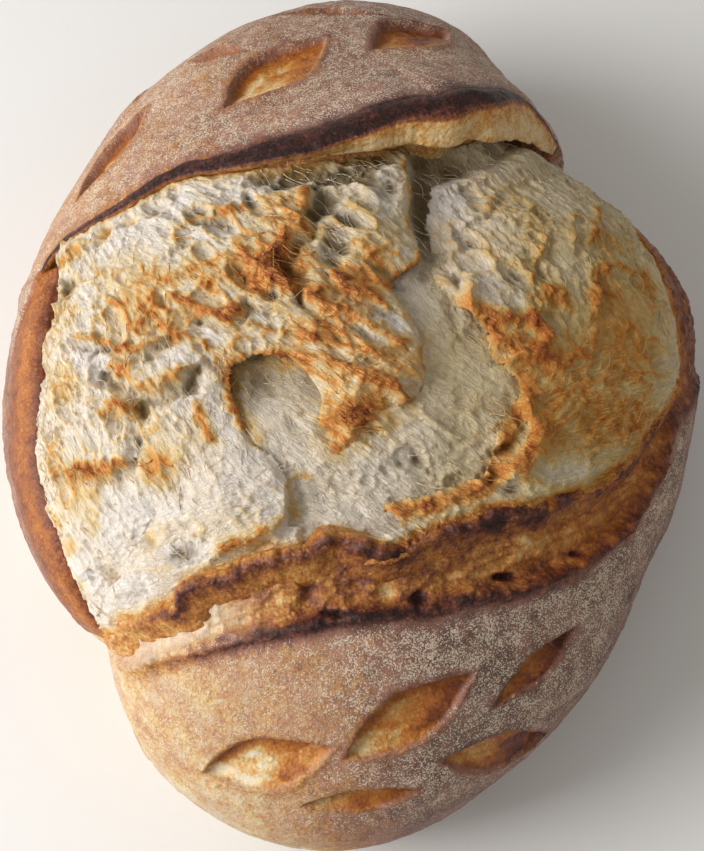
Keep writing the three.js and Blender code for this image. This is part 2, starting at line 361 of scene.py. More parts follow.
# The edge of the floured front crust, a second, softer ridge.
RIM_LINE = smooth_line(sighted([
    (-75, -97), (-67, -95), (-58, -92), (-50, -87.5), (-42, -84), (-33, -81), (-25, -78), (-17, -76),
    (-8, -74), (0, -72), (12, -71), (20, -70.5), (30, -68), (40, -68), (50, -65), (60, -62.5), (68, -59),
    (75, -55), (82, -52.5), (87, -47), (91, -43), (97, -35), (103, -27), (112, -14), (124, 2)], 2))

# The crumb's left-hand edge, over the amber side.
LEFT_EDGE = sighted([
    (-86, -88), (-83, -78), (-82.5, -65), (-83, -55), (-85.5, -47), (-86, -40), (-87, -31), (-86, -25),
    (-84, -19), (-82.5, -10), (-82.5, 0), (-80, 6), (-81, 12), (-80, 20)], 3)

# The fault across the bloom: the torn edge of the left-hand crumb, from the ear down, round the hollow
# below the middle ridge, and on to the front ridge.
FAULT = sighted([
    (17, 46), (15, 38), (16, 30), (15, 22), (17, 17), (17, 12), (11, 6), (14, 0), (17, -5), (17.5, -11),
    (18, -16), (14.5, -22), (10.5, -24), (10, -27), (6, -31.5), (3, -33), (-1, -36.5), (-5.5, -34), (-4.5, -30),
    (-6.5, -26), (-6, -20), (-9, -15.5), (-12, -12), (-19, -11.5), (-24, -14)], 4.5)
FAULT_LOWER = sighted([
    (-24.5, -19), (-22, -26), (-19.5, -31), (-14, -36), (-11, -42), (-9, -50), (-7, -58)], 3)

# The torn left-hand edge of the right-hand crumb, from the ear down to the front ridge.
RIGHT_EDGE = sighted([
    (33, 50), (27, 42), (21.5, 34), (19.5, 27), (19.5, 20), (20, 14), (19.5, 9), (22, 4), (25.5, -1.5), (31, -5.5),
    (33, -12), (38, -17), (38, -21), (34, -26), (33, -30), (32, -34), (30, -38), (24, -41), (16, -43.5),
    (8, -45)], 2.5)

# Leaf-shaped cuts in the crust: middle, length, width and turn, and how brown they baked.
CUTS = (
    dict(x=-21, y=-116, length=41, width=17, turn=24, bake=0.28),
    dict(x=16, y=-100, length=40, width=15, turn=37, bake=0.42),
    dict(x=45, y=-119, length=40, width=15, turn=-9, bake=0.52),
    dict(x=50, y=-89, length=31, width=8, turn=42, bake=0.60),
    dict(x=5, y=-129, length=34, width=8, turn=8, bake=0.42),
    dict(x=-17, y=70, length=38, width=17, turn=50, bake=0.36),
    dict(x=18, y=89, length=34, width=17, turn=48, bake=0.50),
    dict(x=-64, y=58, length=36, width=14, turn=58, bake=0.40),
    dict(x=-36, y=88, length=22, width=7, turn=-28, bake=0.40),
    dict(x=-5, y=106, length=34, width=7, turn=-16, bake=0.42),
)

# Torn lips standing up in the crumb, each with a hollow on its right-hand side as the line runs:
# points, width, rise, depth of the hollow, browning.
LIPS = (
    (((15, -21.5), (10, -18), (2, -16), (-4, -13), (-12, -11), (-20, -11), (-25, -14)), 1.9, 1.8, 0, 0.95),
    (((-53, -12), (-50, -13), (-45, -17.5), (-41, -17), (-36, -14.5)), 1.7, 1.8, 2.6, 0.85),
    (((-65, -2), (-58, -4), (-53, -6), (-46, -8.5), (-41, -6)), 1.0, 1.2, 1.6, 0.75),
    (((-39, 4), (-34, 1.5), (-29, -1.5), (-25, -3), (-23, -1)), 1.1, 1.2, 1.8, 0.75),
    (((-41, -3), (-35, -6), (-29, -10), (-25, -14)), 0.8, 0.9, 0.8, 0.5),
    (((-12, 4), (-15, 9), (-14, 12), (-12.5, 16), (-9, 19), (-10, 22), (-8, 28)), 1.6, 1.8, 2.4, 0.85),
    (((-39, 17), (-38, 20), (-35, 23), (-32, 24)), 1.0, 0.7, 0.8, 0.4),
    (((-31, 23.5), (-25, 24.2), (-19, 24)), 0.9, 0.7, 0.6, 0.45),
    (((-66, -35.5), (-60, -35.5), (-56, -36.5), (-52, -35)), 1.3, 1.3, 1.5, 0.75),
    (((-57, -21.5), (-53, -20.5), (-50, -23)), 1.3, 1.0, 1.0, 0.7),
    (((-10.5, -47), (-11, -42), (-11, -38), (-8, -38.6)), 0.8, 1.2, 1.5, 0.8),
    (((-28, -57), (-24, -55), (-19, -52), (-14, -49)), 1.2, 1.2, 1.4, 0.55),
    (((-33, -23), (-31, -27), (-29.5, -30)), 1.2, 0.7, 0.6, 0.6),
    (((15, 42), (15.6, 34), (15, 25), (17, 16), (13, 8)), 1.0, 0.8, 0, 0.5),
    (((-20, 7), (-10, 3), (-2, -2), (5, -5), (12, -9)), 1.2, 1.0, 1.0, 0.6),
    (((-24, 14), (-20, 9), (-19, 3)), 1.5, 0.7, 0, 0.5),
    (((-2, 6), (4, 2), (9, 0)), 1.0, 1.0, 1.2, 0.6),
    (((-8, 2), (0, -6), (6, -12)), 0.9, 0.9, 1.0, 0.6),
    (((2, 14), (7, 11), (12, 8)), 0.9, 0.9, 1.2, 0.5),
    (((-20, -5), (-12, -7), (-4, -9), (4, -12)), 1.0, 0.9, 0.8, 0.65),
    (((-46, 3), (-40, 8), (-34, 11), (-24, 11)), 1.1, 0.6, 0.4, 0.4),
    (((44, 12), (45, 17), (48, 22)), 1.1, 1.2, 1.0, 0.35),
    (((56, 22), (57.5, 31), (60, 35)), 1.1, 1.0, 0.8, 0.3),
    (((62, 26), (67, 35), (72, 44)), 1.3, 0.9, 0.6, 0.6),
    (((59, 4), (62, 13), (66, 18), (75, 19)), 1.2, 1.1, 0.8, 0.6),
    (((58, -10), (60, -2), (61, 9)), 1.1, 0.8, 0.5, 0.5),
    (((45, 3), (48, 8), (52, 3)), 1.4, 1.0, 0.8, 0.6),
    (((30, 27), (34, 31), (38, 37)), 1.0, 1.0, 1.0, 0.1),
    (((33, -6), (40, -9), (50, -11), (57, -8)), 1.5, 0.9, 0.6, 0.7),
    (((36, -36), (44, -40), (52, -41), (60, -36)), 1.2, 0.8, 0.6, 0.35),
    (((-25.5, -13), (-25.5, -18), (-23.5, -24), (-20.5, -30)), 1.8, 1.8, 0, 0.95),
    (((41, -22), (43.5, -27), (41.5, -33), (37, -37)), 2.0, 2.4, 1.6, 0.8),
    (((34, -1.5), (40, -1), (46, -4), (44, -8), (37, -11)), 1.4, 1.6, 1.2, 0.75),
    (((27.5, 8), (28, 4), (27, -1)), 1.2, 2.0, 1.2, 0.3),
)

# Marks on the crumb: x, y, half length, half width, turn, browning (below 0: paler), rise (below 0: a pit).
MARKS = (
    (-17, 8, 8, 4.5, 20, 0.65, 0.3), (-35, 8, 9, 3, -10, 0.35, 0), (-44, 1, 9, 4, -25, 0.35, 0),
    (-60, 27, 2.5, 2.5, 0, 0.7, -2.2), (-52, 27.5, 3, 1.6, 0, 0.2, -1.8), (-45, 28, 2.6, 1.6, 0, 0.0, -1.8),
    (-40, 32, 1.8, 1.8, 0, 0.0, -2.0), (-26, 27, 2.0, 1.4, 0, 0.0, -1.6), (-19, 33, 3, 1.6, 40, 0.1, -2.4),
    (-71, 15, 5, 3.5, -20, 0.1, -2.8), (-76, 9, 4, 3, 20, 0.15, -2.4), (-73, 25, 7, 3, 10, 0.55, 0.2),
    (-53, -22, 3, 2, 10, 0.5, 0.2), (-61, -36.5, 6, 2, -5, 0.5, 0), (-42, -36, 4.5, 4.5, 0, 0.55, 0.4),
    (-31, -27, 3.6, 1.6, -60, 0.45, 0), (-76, -57, 4, 2.4, 15, 0.65, 0.2), (-78, -49, 3.5, 2.5, 0, 0.35, 0),
    (-62, -48, 5.5, 2, 80, 0.35, 0), (-70, -14, 7, 5, -20, 0.22, 0), (-67, -40, 6, 5, 60, 0.28, 0),
    (-74, -33, 3, 5, 0, 0.28, 0), (-45, -52, 5, 2, 20, 0.22, 0), (-78, -71, 3, 3, 0, 0.25, 0),
    (-47, -23, 3, 3, 0, 0.15, -2.4), (-48, -31, 4, 1.6, 80, -0.2, -2.2), (-37, -57, 6, 3.2, 15, -0.2, -2.4),
    (-53, -67, 4, 3, 10, -0.2, -1.8), (-61, -65, 3, 3, 0, 0.1, -1.4), (-47, -55, 3, 2.4, 0, 0.1, -1.4),
    (-4, 24, 4, 3.4, 60, -0.4, -3.4), (-2, 13, 5.5, 3.4, 75, -0.4, -3.0), (-15, 2, 2.4, 1.8, 0, -0.4, -1.8),
    (-17, -4, 4.5, 2.2, -25, -0.3, -1.6), (3, -7, 4.5, 2.0, -30, -0.4, -1.6), (-60, -8, 5, 3.2, -20, -0.4, -1.2),
    (-33, -5, 8, 2.4, -32, -0.3, -1.4), (-38, -10, 6, 3, -20, -0.2, -1.0), (-29, 19, 8, 4, -15, -0.25, -0.8),
    (2, 20, 3, 1.6, -40, -0.3, -1.2), (9, 26, 5, 2.4, 80, -0.3, -1.2), (10, -4, 4, 2, -40, -0.3, -1.0),
    (-9, 12, 3, 2, 40, -0.2, -1.4), (-22, 27, 4, 2, -50, -0.2, -1.2), (-38, 27, 5, 2.5, -20, -0.2, -1.0),
    (-1, 33, 9, 3, 0, -0.5, -4.5), (-13, 32, 5, 3, 20, -0.4, -3.5), (6, 38, 6, 3, 20, -0.3, -3.0),
    (50, -15, 9, 7, 0, 0.45, 0), (70, -2, 9, 14, 0, 0.42, 0), (57, -26, 9, 6, 20, 0.30, 0),
    (77, -22, 6, 6, 0, 0.42, 0), (80, 17, 3, 4, 0, 0.5, -0.6), (41, -8, 7, 4, -10, 0.4, 0.4),
    (70, -15, 4, 3, 0, -0.3, 0), (52, -38, 8, 3, 15, -0.35, 0), (86, 6, 4, 9, 0, -0.15, 0),
    (39, 6, 4, 2, 80, -0.3, 0.4), (27, 4, 5, 1.6, 70, 0.1, 1.6), (26.5, 0, 1.6, 1.4, 0, 0.9, 0.8),
    (66, 28, 6, 4, 50, 0.3, 0), (63, 13, 3, 5, 0, 0.3, 0), (48, 5, 4, 4, 0, 0.35, 0.4),
    (46, -28, 4, 6, 0, 0.35, 0), (65, -22, 7, 6, 0, 0.35, 0), (2, 4, 6, 3, -40, 0.4, 0),
    (11, -12, 5, 4, -30, 0.5, 0.2), (1, -26, 8, 6, -30, 1.0, 0), (7, -24, 5, 3, -20, 0.8, 0),
    (-2, -33, 3, 3, 0, 0.7, 0), (-3, -6, 5, 3, -30, 0.4, 0), (8, 6, 5, 3, -30, 0.35, 0),
)

# Wide golden areas of the crumb: x, y, half length, half width, turn, browning of whatever stands high there.
TINTS = (
    (-36, 0, 34, 13, -8, 0.50), (-2, 2, 22, 17, -20, 0.70), (-60, 4, 22, 10, 10, 0.28),
    (-20, 22, 26, 12, 0, 0.34), (-68, -22, 14, 26, 0, 0.24), (-42, -24, 16, 14, 0, 0.20),
    (62, -8, 26, 30, 0, 0.51), (44, 22, 22, 22, 0, 0.22), (78, 10, 14, 26, 0, 0.45),
    (-24, -54, 20, 8, 25, 0.22),
)

# Openings and blisters in the golden band between the ridge and the rim: x, y, half length, half width,
# turn, browning, rise.
BAND_MARKS = (
    (-1.7, -70.4, 2.4, 0.7, 0, 1.6, -2.2), (38, -63, 3, 0.9, 0, 1.6, -2.2), (17, -67, 2, 1.4, 20, 1.0, -2.0),
    (10, -65, 3.4, 2.6, 60, -0.6, -1.6), (-8, -64, 1.8, 5, 0, 0.5, -2.4), (-27, -77, 1.6, 0.8, 0, 1.0, -1.4),
    (-18, -75.5, 2.2, 0.8, 10, 1.0, -1.4), (43, -55, 6, 4, -10, -0.4, 0.9), (24, -63, 3, 2.2, 0, -0.2, -1.2),
    (-36, -73, 8, 3, 20, -0.4, 0.3), (-50, -82, 10, 2.6, 22, -0.5, 0.4), (-38, -78, 7, 2, 20, -0.45, 0.3),
    (60, -50, 6, 4, 30, -0.15, 0.5), (78, -38, 8, 4, 40, -0.2, 0.4), (-20, -66, 6, 2.5, 10, 0.25, 0),
    (48, -61, 4, 2, 0, 0.2, -1.0), (5, -63, 3, 2, 0, 0.2, -0.8), (59, -58, 1.6, 0.8, 0, 1.0, -1.6),
)


def settled(rows, height):
    """Rows that begin with a place, moved along the line of sight for the height they stand at."""
    return [tuple(row) for row in sighted(rows, height)]


SHEET_HEIGHT = 5.0
MARKS = settled(MARKS, 4.0)
TINTS = settled(TINTS, 4.0)
BAND_MARKS = settled(BAND_MARKS, 0.0)
LIPS = [(smooth_line(sighted(points, SHEET_HEIGHT), 1.0), *rest) for points, *rest in LIPS]


def ovals(x, y, rows):
    """For each oval mark, where it is felt, how strongly, and its numbers."""
    for px, py, long, wide, turn, *numbers in rows:
        reach = 2.2 * max(long, wide)
        at = np.nonzero((abs(x - px) < reach) & (abs(y - py) < reach))[0]
        if len(at):
            u, v = turned(x[at] - px, y[at] - py, turn)
            ragged = 1 + 0.35 * grain(x[at], y[at], 2.2, 71)
            yield at, np.exp(-((u / long) ** 2 + (v / wide) ** 2) ** 1.3 * ragged), numbers


# ---------------------------------------------------------------------------------------------------
# Relief and finish of the crust.
# ---------------------------------------------------------------------------------------------------

BED_DEPTH = 10.5
AMBER_LINE = smooth_line(LEFT_EDGE)


def cut_field(x, y, cut):
    """How far inside an almond-shaped cut a place is (below 1 inside), and how far along and across it."""
    u, v = turned(x - cut["x"], y - cut["y"], cut["turn"])
    along = u / (cut["length"] / 2)
    across = v / (cut["width"] / 2)
    wobble = 0.06 * grain(x, y, 8, 15) + 0.02 * grain(x, y, 2.6, 16)
    return along ** 2 + np.abs(across) * (0.9 + 0.3 * along ** 2) + wobble, along, across


def crust_swell(x, y):
    """The skin's low, even unevenness, shared by the body and the lips so that they meet flush."""
    return 0.7 * rough(x, y, 34, 3, 3) + 0.22 * rough(x, y, 5, 7, 3)


def crust_surface(x, y):
    """Height of the crust over the dome, and its finish: bake, flour and gloss."""
    share = waist_share(x, y)
    behind_ear, ear = beside(EAR_LINE, x, y)
    before_ridge, ridge = beside(RIDGE_LINE, x, y)
    before_ridge = -before_ridge
    from_rim, _ = beside(RIM_LINE, x, y)
    out_left, _ = beside(AMBER_LINE, x, y)
    beyond = ease(y, 20, 40) + ease(-y, 88, 106)
    out_left = np.where(x < -60, out_left, -40.0) - 60 * beyond
    top = ease(share, 1.35, 1.0)

    # Which of the crust's parts a place is in.
    on_back = ease(behind_ear, 0, 1.2) * ease(y, -5, 8)
    on_front = ease(before_ridge, 0, 1.2)
    on_left = ease(out_left, -0.5, 1.5)
    on_side = ease(share, 0.93, 0.99)
    right_side = ease(x, 62, 76)
    behind = mix(on_back, ease(y - 0.2 * x + 6 * grain(x, y, 14, 26), 14, 44), right_side)
    crust = np.maximum.reduce([on_back, on_front, on_left, on_side])
    floured_front = on_front * ease(-from_rim, 0.8, 6.0) * (1 - behind)
    band = on_front * ease(from_rim, -1.5, 1.0) * ease(share, 1.2, 1.0) * (1 - behind)

    # Relief.
    height = crust_swell(x, y)
    lift, burnt = ear[..., 1], ear[..., 2]
    flap = lift * bell(np.maximum(behind_ear, 0), 20.0)
    height += on_back * top * flap - 0.35 * on_back * top * bell(behind_ear, 0.7 * burnt + 0.5)
    height += on_front * top * (ridge[..., 1] * 0.45 * bell(before_ridge, 6.0))
    rim_part = ease(x, -80, -60) * ease(x, 104, 80)
    height += on_front * top * 2.0 * (1 + 0.5 * grain(x, y, 6, 34)) * bell(from_rim, 2.4) * rim_part
    height -= band * top * 2.2 * ease(from_rim, 0.5, 5)
    height += on_left * top * (0.9 * bell(out_left - 13, 9) - 2.0 * bell(out_left, 3.5))

    # Bubbles in the skin: low blisters, most of them on the bare parts.
    near, _, luck = cells(x, y, 4.2, 21)
    blister = np.clip(1 - near / (0.8 + 1.1 * luck), 0, 1) ** 0.6 * (luck > 0.45)
    fine_near, _, fine_luck = cells(x, y, 1.9, 22)
    fine = np.clip(1 - fine_near / (0.35 + 0.5 * fine_luck), 0, 1) ** 0.6 * (fine_luck > 0.4)
    blistered = ease(grain(x, y, 26, 23), -0.5, 0.4)
    height += top * blistered * (0.38 * blister + 0.16 * fine) * mix(0.6, 1.3, band)

    # Folds, bubbles and small tears of the bare band.
    u, v = turned(x, y, 22)
    fold_near, fold_after, fold_luck = cells(u / 2.0 + 1.5 * grain(u, v, 7, 31), v, 3.4, 32)
    band_wall = bell(fold_after - fold_near, 0.5)
    height += band * top * (0.55 * band_wall - 0.8 * np.clip(1 - fold_near / 2.0, 0, 1) * (fold_luck > 0.6)
                            + 0.35 * rough(x, y, 2.5, 33, 3))

    # Bake and painted shading, from 0 for pale crumb to 1 for burnt.
    # Painted light: paler on the lit left-hand side, on the floured front's left and low on the left-hand sides.
    lit_side = ease(-x, -5, 62)
    bake = 0.60 + 0.09 * rough(x, y, 22, 41, 3) + 0.07 * rough(x, y, 4, 42, 3) - 0.20 * lit_side
    bake += 0.11 * behind
    bake += floured_front * (0.02 - 0.19 * ease(-x, -30, 15) + 0.10 * ease(-x, 30, 60))
    bake -= 0.15 * ease(share, 0.80, 1.0) * ease(-x, -30, 30)
    bake -= 0.14 * top * blistered * (blister + 0.5 * fine) * mix(1, 0.6, on_back)
    # Painted light on the bare amber side: a painted shadow darkens it along the crumb's edge, and a painted highlight
    # lightens its middle; further out it is browner.
    amber = 0.63 + 0.08 * rough(x, y, 14, 43, 3) + 0.05 * rough(x, y, 3, 45, 2) + 0.14 * bell(out_left - 0.5, 3.5)
    amber += 0.06 * ease(out_left, 16, 24) - 0.13 * bell(out_left - 8, 4.5)
    bake = mix(bake, amber, on_left * ease(share, 1.5, 0.95))
    bared = 0.52 + 0.12 * rough(x, y, 9, 44, 3) + 0.12 * band_wall - 0.50 * ease(-x, 4, 36)
    quiet = mix(1, 0.6, ease(x, 30, 62))
    bared = bared + 0.20 * bell(before_ridge - 1, 4.5) + 0.18 * quiet * bell(from_rim, 3) - 0.18 * blister - 0.10 * fine
    bared = bared - 0.10 * ease(x, 30, 62) * bell(before_ridge - 9, 7)
    bake = mix(bake, bared, band)
    bake += 0.28 * quiet * on_front * bell(from_rim + 0.6, 2.6) * ease(x, -60, -20)
    bake += on_back * 0.26 * bell(behind_ear - burnt, 3.0) * ease(x, -60, 0)

    # Flour, dusted before baking: thick behind the ear and on the front's right, gone where the crust swelled.
    past_burnt = mix(ease(behind_ear, burnt - 1.5, burnt + 3.5), 1, right_side)
    flour = behind * mix(0.70, 0.56, ease(share, 0.6, 0.95)) * past_burnt
    flour = np.maximum(flour, floured_front * mix(0.50, 0.72, ease(x + 0.25 * (y + 95), -22, 22)))
    # Painted shade: the floured front's right-hand part and the bare band's right-hand end are made darker, on the side
    # turned from the light.
    bake += 0.30 * floured_front * ease(x, -20, 40)
    bake += 0.12 * band * ease(x, 84, 96)
    flour = np.maximum(flour, band * 0.40 * ease(-x, 8, 40))
    flour = flour * mix(1, 0.45, ease(share, 0.82, 1.0)) + 0.08 * grain(x, y, 15, 51) * (flour > 0.05)
    flour = np.maximum(flour, on_left * 0.30 * ease(out_left, 15, 24))
    flour = np.maximum(flour, 0.30 * ease(share, 1.05, 1.4))
    flour *= 1 - 0.55 * top * blistered * blister
    gloss = on_left * 0.8 * ease(out_left, 26, 14) + band * mix(0.3, 0.85, ease(x, 30, 60))

    # The cuts: sunk, with an orange rim, a pale torn floor and a browner middle.
    for cut in CUTS:
        reach = 0.8 * cut["length"]
        at = np.nonzero(np.hypot(x - cut["x"], y - cut["y"]) < reach)[0]
        field, along, across = cut_field(x[at], y[at], cut)
        inside = 1 - ease(field, 0.84, 1.0)
        rim = bell(field - 1.08, 0.14)
        fx, fy = turned(x[at], y[at], cut["turn"] - 12)
        torn = rough(fx / 2.4, fy, 3.0, 61, 2)
        swollen = rough(fx / 1.6, fy, 5.5, 62, 2)
        depth = 2.6 * ease(across, -1.3, 0.6) + 0.5
        height[at] += 0.5 * rim * ease(-across, -0.4, 0.6) - inside * (depth - 0.7 * swollen - 0.3 * torn)
        browner = ease(along - 0.35 * across + 0.6 * swollen, -0.5, 0.6)
        spot = ease(rough(x[at], y[at], 6, 63, 2) + 0.3 * browner, 0.12, 0.42)
        wall = ease(across, 0.12, 0.42) * ease(field, 0.35, 0.75)
        floor = cut["bake"] - 0.20 + 0.30 * browner + 0.14 * spot + 0.05 * torn
        floor = mix(floor, np.maximum(floor, 0.52 + 0.06 * torn), 0.85 * wall)
        bake[at] = mix(bake[at], floor, inside)
        bake[at] = mix(bake[at], 0.72, 0.75 * bell(field - 0.96, 0.09) * ease(across, -0.2, 0.3))
        bake[at] = mix(bake[at], 0.46, 0.6 * rim * ease(-across, -0.1, 0.5))
        flour[at] *= (1 - inside) * (1 - 0.8 * rim)
        gloss[at] = np.maximum(gloss[at], inside * (0.15 + 0.7 * ease(floor, 0.12, 0.42)))
    for at, weight, (browning, rise) in ovals(x, y, BAND_MARKS):
        bake[at] += browning * 0.5 * weight * on_front[at]
        height[at] += rise * weight * on_front[at]

    # Under the bloom the crust is only a bed.
    height = mix(-BED_DEPTH, height, np.maximum(crust, 1 - top))
    bake = mix(0.18, bake, np.maximum(crust, 1 - top))
    return height, np.clip(bake, 0, 1), np.clip(flour, 0, 1), np.clip(gloss, 0, 1)


# ---------------------------------------------------------------------------------------------------
# Relief and finish of the crumb.
# ---------------------------------------------------------------------------------------------------

# How the crumb was drawn out: middle of a zone, its reach, and the direction of its fibres in degrees.
PULLS = ((-10, 8, 34, -34), (-62, -30, 40, -58), (45, 15, 38, -48), (20, -28, 30, -24), (-40, -62, 26, 12),
         (62, -22, 26, 30))


def weave(x, y, degrees, seed):
    """Torn crumb drawn out along a direction: relief in mm, and how much of it is thin standing wall."""
    u, v = turned(x, y, degrees)
    u = u + 2.2 * grain(u, v, 9, seed)
    v = v + 1.3 * grain(u, v, 6, seed + 1)
    relief = np.zeros(len(x))
    walls = np.zeros(len(x))
    for size, drawn, wall, pit, open_share in ((6.4, 1.9, 0.8, 1.7, 0.5), (3.2, 1.8, 0.5, 0.9, 0.5),
                                               (1.7, 1.6, 0.25, 0.4, 0.55)):
        near, after, luck = cells(u / drawn, v, size, seed + int(10 * size))
        edge = bell(after - near, 0.10 * size)
        radius = size * (0.22 + 0.26 * luck)
        opened = luck > open_share
        bowl = np.clip(1 - (near / radius) ** 2, 0, 1) * opened
        ring = bell(near - radius, 0.07 * size) * opened
        relief += wall * (0.5 * edge + 0.8 * ring) - pit * bowl
        walls += wall * (0.6 * edge + 1.2 * ring)
    thread = 1 - np.abs(rough(u / 4.5, v, 1.9, seed + 90, 2)) * 1.6
    finer = 1 - np.abs(grain(u / 3.5, v, 0.8, seed + 95)) * 1.4
    relief += 0.55 * (thread - 0.5) + 0.30 * (finer - 0.4)
    walls += 0.25 * np.clip(thread - 0.6, 0, 1)
    return relief, walls


def pull_weights(x, y):
    """How much each of the zones in PULLS counts at a place."""
    weights = np.array([np.exp(-2 * ((x - px) ** 2 + (y - py) ** 2) / reach ** 2) + 1e-9
                        for px, py, reach, _ in PULLS])
    return weights / weights.sum(0)


def drawn_crumb(x, y, seed):
    """The crumb's weave, blended from the zones that were drawn out in different directions."""
    relief, walls = np.zeros(len(x)), np.zeros(len(x))
    for k, weight in enumerate(pull_weights(x, y)):
        at = np.nonzero(weight > 0.02)[0]
        one, wall = weave(x[at], y[at], PULLS[k][3], seed + 200 * k)
        relief[at] += weight[at] * one
        walls[at] += weight[at] * wall
    calm = 1 - 0.35 * np.exp(-((x + 48) / 34) ** 2 - ((y + 50) / 26) ** 2) - 0.3 * ease(x, 34, 54)
    return relief * calm, walls * calm


def crumb_finish(x, y, relief, walls, strength=1.0):
    """Lips, marks and tints: adds to the relief, and gives the browning."""
    toast = np.zeros(len(x))
    for line, width, rise, hollow, browning in LIPS:
        at = np.nonzero(near_box(line, x, y, 4 * width + 2))[0]
        if not len(at):
            continue
        wander = 0.8 * grain(x[at], y[at], 3.5, 77) + 0.4 * grain(x[at], y[at], 1.2, 78)
        side, _ = beside(line, x[at], y[at])
        side = side + wander
        crest = np.where(side > 0, bell(side, 1.5 * width), bell(side, 0.55 * width))
        relief[at] += strength * (rise * crest - hollow * bell(side + 1.7 * width, 1.1 * width))
        burn = np.where(side > 0, bell(side, 1.2 * width), bell(side, 0.6 * width))
        patchy = 0.8 + 0.4 * grain(x[at], y[at], 4, 79) + 0.5 * grain(x[at], y[at], 1.3, 83)
        toast[at] = np.maximum(toast[at], browning * burn * patchy)
    for at, weight, (browning, rise) in ovals(x, y, MARKS):
        relief[at] += strength * rise * weight
        patchy = np.clip(0.8 + 0.5 * rough(x[at], y[at], 2.5, 80, 2), 0, 1.3)
        toast[at] += browning * weight * patchy
    high = ease(walls + 0.5 * relief, 0.0, 1.1)
    tint = np.zeros(len(x))
    for px, py, long, wide, turn, amount in TINTS:
        u, v = turned(x - px, y - py, turn)
        tint = np.maximum(tint, amount * np.exp(-((u / long) ** 2 + (v / wide) ** 2)))
    patch = ease(rough(x, y, 9, 81, 3), -0.45, 0.35)
    even = ease(x, 40, 60)
    toast = 0.85 * toast + tint * (mix(0.30 + 0.60 * patch, 0.62, 0.6 * even) * mix(0.45 + 0.25 * even, 1.0, high)
                                   + 0.35 * ease(walls, 0.25, 0.8))
    streak_x, streak_y = turned(x, y, -38)
    streaks = rough(streak_x / 4, streak_y, 1.3, 82, 3)
    toast = toast * (1 + mix(0.75, 0.3, ease(x, 30, 50)) * streaks) + 0.06 * ease(walls, 0.3, 1.0) + 0.04 * patch
    return np.clip(0.86 * (1 - np.exp(-1.2 * np.maximum(toast, 0))), 0, 1)


# ---------------------------------------------------------------------------------------------------
# Meshes.
# ---------------------------------------------------------------------------------------------------


def deselect():
    """Leave edit mode and select nothing."""
    if bpy.context.mode != "OBJECT":
        bpy.ops.object.mode_set(mode="OBJECT")
    bpy.ops.object.select_all(action="DESELECT")


def named(name):
    """The object just added, with its name."""
    piece = bpy.context.object
    piece.name = name
    piece.data.name = name
    return piece


def places(piece):
    """Where a piece's vertices are."""
    flat = np.empty(3 * len(piece.data.vertices))
    piece.data.vertices.foreach_get("co", flat)
    return flat.reshape(-1, 3)


def edge_ends(piece):
    """The two vertices of each edge."""
    ends = np.empty(2 * len(piece.data.edges), int)
    piece.data.edges.foreach_get("vertices", ends)
    return ends.reshape(-1, 2)


def upright_edges(piece):
    """Which edges of a tube along Z aren't part of its rings."""
    height = places(piece)[edge_ends(piece), 2]
    return np.abs(height[:, 0] - height[:, 1]) > 1e-6


def place(piece, where_mm):
    piece.data.vertices.foreach_set("co", (np.asarray(where_mm) * MM).ravel())
    piece.data.update()


def record_crumb(piece, x, y, **values):
    """Record a crumb's finish, with how steeply or how level its fibres lie."""
    weights = pull_weights(x, y)
    turns = np.array([pull[3] for pull in PULLS])
    record(piece, steep=weights[(turns < -45)].sum(0), level=weights[turns > 0].sum(0), **values)


def record(piece, **values):
    """Store what the materials read, one number for each vertex."""
    for name, value in values.items():
        layer = piece.data.attributes.new(name, "FLOAT", "POINT")
        layer.data.foreach_set("value", np.ascontiguousarray(np.broadcast_to(value, len(piece.data.vertices)), float))


def edit(piece, mode="VERT"):
    """Start editing a piece by its vertices, edges or faces."""
    bpy.context.view_layer.objects.active = piece
    piece.select_set(True)
    # Set before edit mode starts, so that only what was picked is selected there.
    bpy.context.tool_settings.mesh_select_mode = [mode == each for each in ("VERT", "EDGE", "FACE")]
    bpy.ops.object.mode_set(mode="EDIT")


def done_editing():
    bpy.ops.object.mode_set(mode="OBJECT")


def pick(piece, kind, chosen):
    """Select exactly the chosen vertices, edges or faces, in object mode."""
    for group in (piece.data.vertices, piece.data.edges, piece.data.polygons):
        group.foreach_set("select", np.zeros(len(group), bool))
    getattr(piece.data, kind).foreach_set("select", np.asarray(chosen, bool))


def face_outwards(piece):
    """Make the faces point outwards."""
    deselect()
    edit(piece)
    bpy.ops.mesh.select_all(action="SELECT")
    bpy.ops.mesh.normals_make_consistent(inside=False)
    done_editing()
    bpy.ops.object.shade_smooth()


def finish_piece(piece, material):
    """Give a piece its material, and say what it rides on, replaces and is made of."""
    face_outwards(piece)
    piece.data.materials.clear()
    piece.data.materials.append(material)
    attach(piece, "root")
    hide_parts("loaf")


# ---------------------------------------------------------------------------------------------------
# Materials.
# ---------------------------------------------------------------------------------------------------


def linear(hex_colour):
    """An sRGB hex colour as linear RGBA."""
    parts = [int(hex_colour[i:i + 2], 16) / 255 for i in (1, 3, 5)]
    return tuple(c / 12.92 if c <= 0.04045 else ((c + 0.055) / 1.055) ** 2.4 for c in parts) + (1.0,)


def add(tree, kind, settings=None, **links):
    """Add a node; a link's key is the input's name with spaces as underscores, or its number after an n. The
    setting "stops" lists a colour ramp's places and colours."""
    node = tree.nodes.new(kind)
    for key, value in (settings or {}).items():
        if key == "stops":
            while len(node.color_ramp.elements) < len(value):
                node.color_ramp.elements.new(0.5)
            for element, (at, colour) in zip(node.color_ramp.elements, value):
                element.position, element.color = at, linear(colour)
        elif key in node.inputs:
            node.inputs[key].default_value = value
        else:
            setattr(node, key, value)
    for key, value in links.items():
        port = node.inputs[int(key[1:])] if key[0] == "n" and key[1:].isdigit() else node.inputs[key.replace("_", " ")]
        if isinstance(value, bpy.types.NodeSocket):
            tree.links.new(value, port)
        else:
            port.default_value = value
    return node


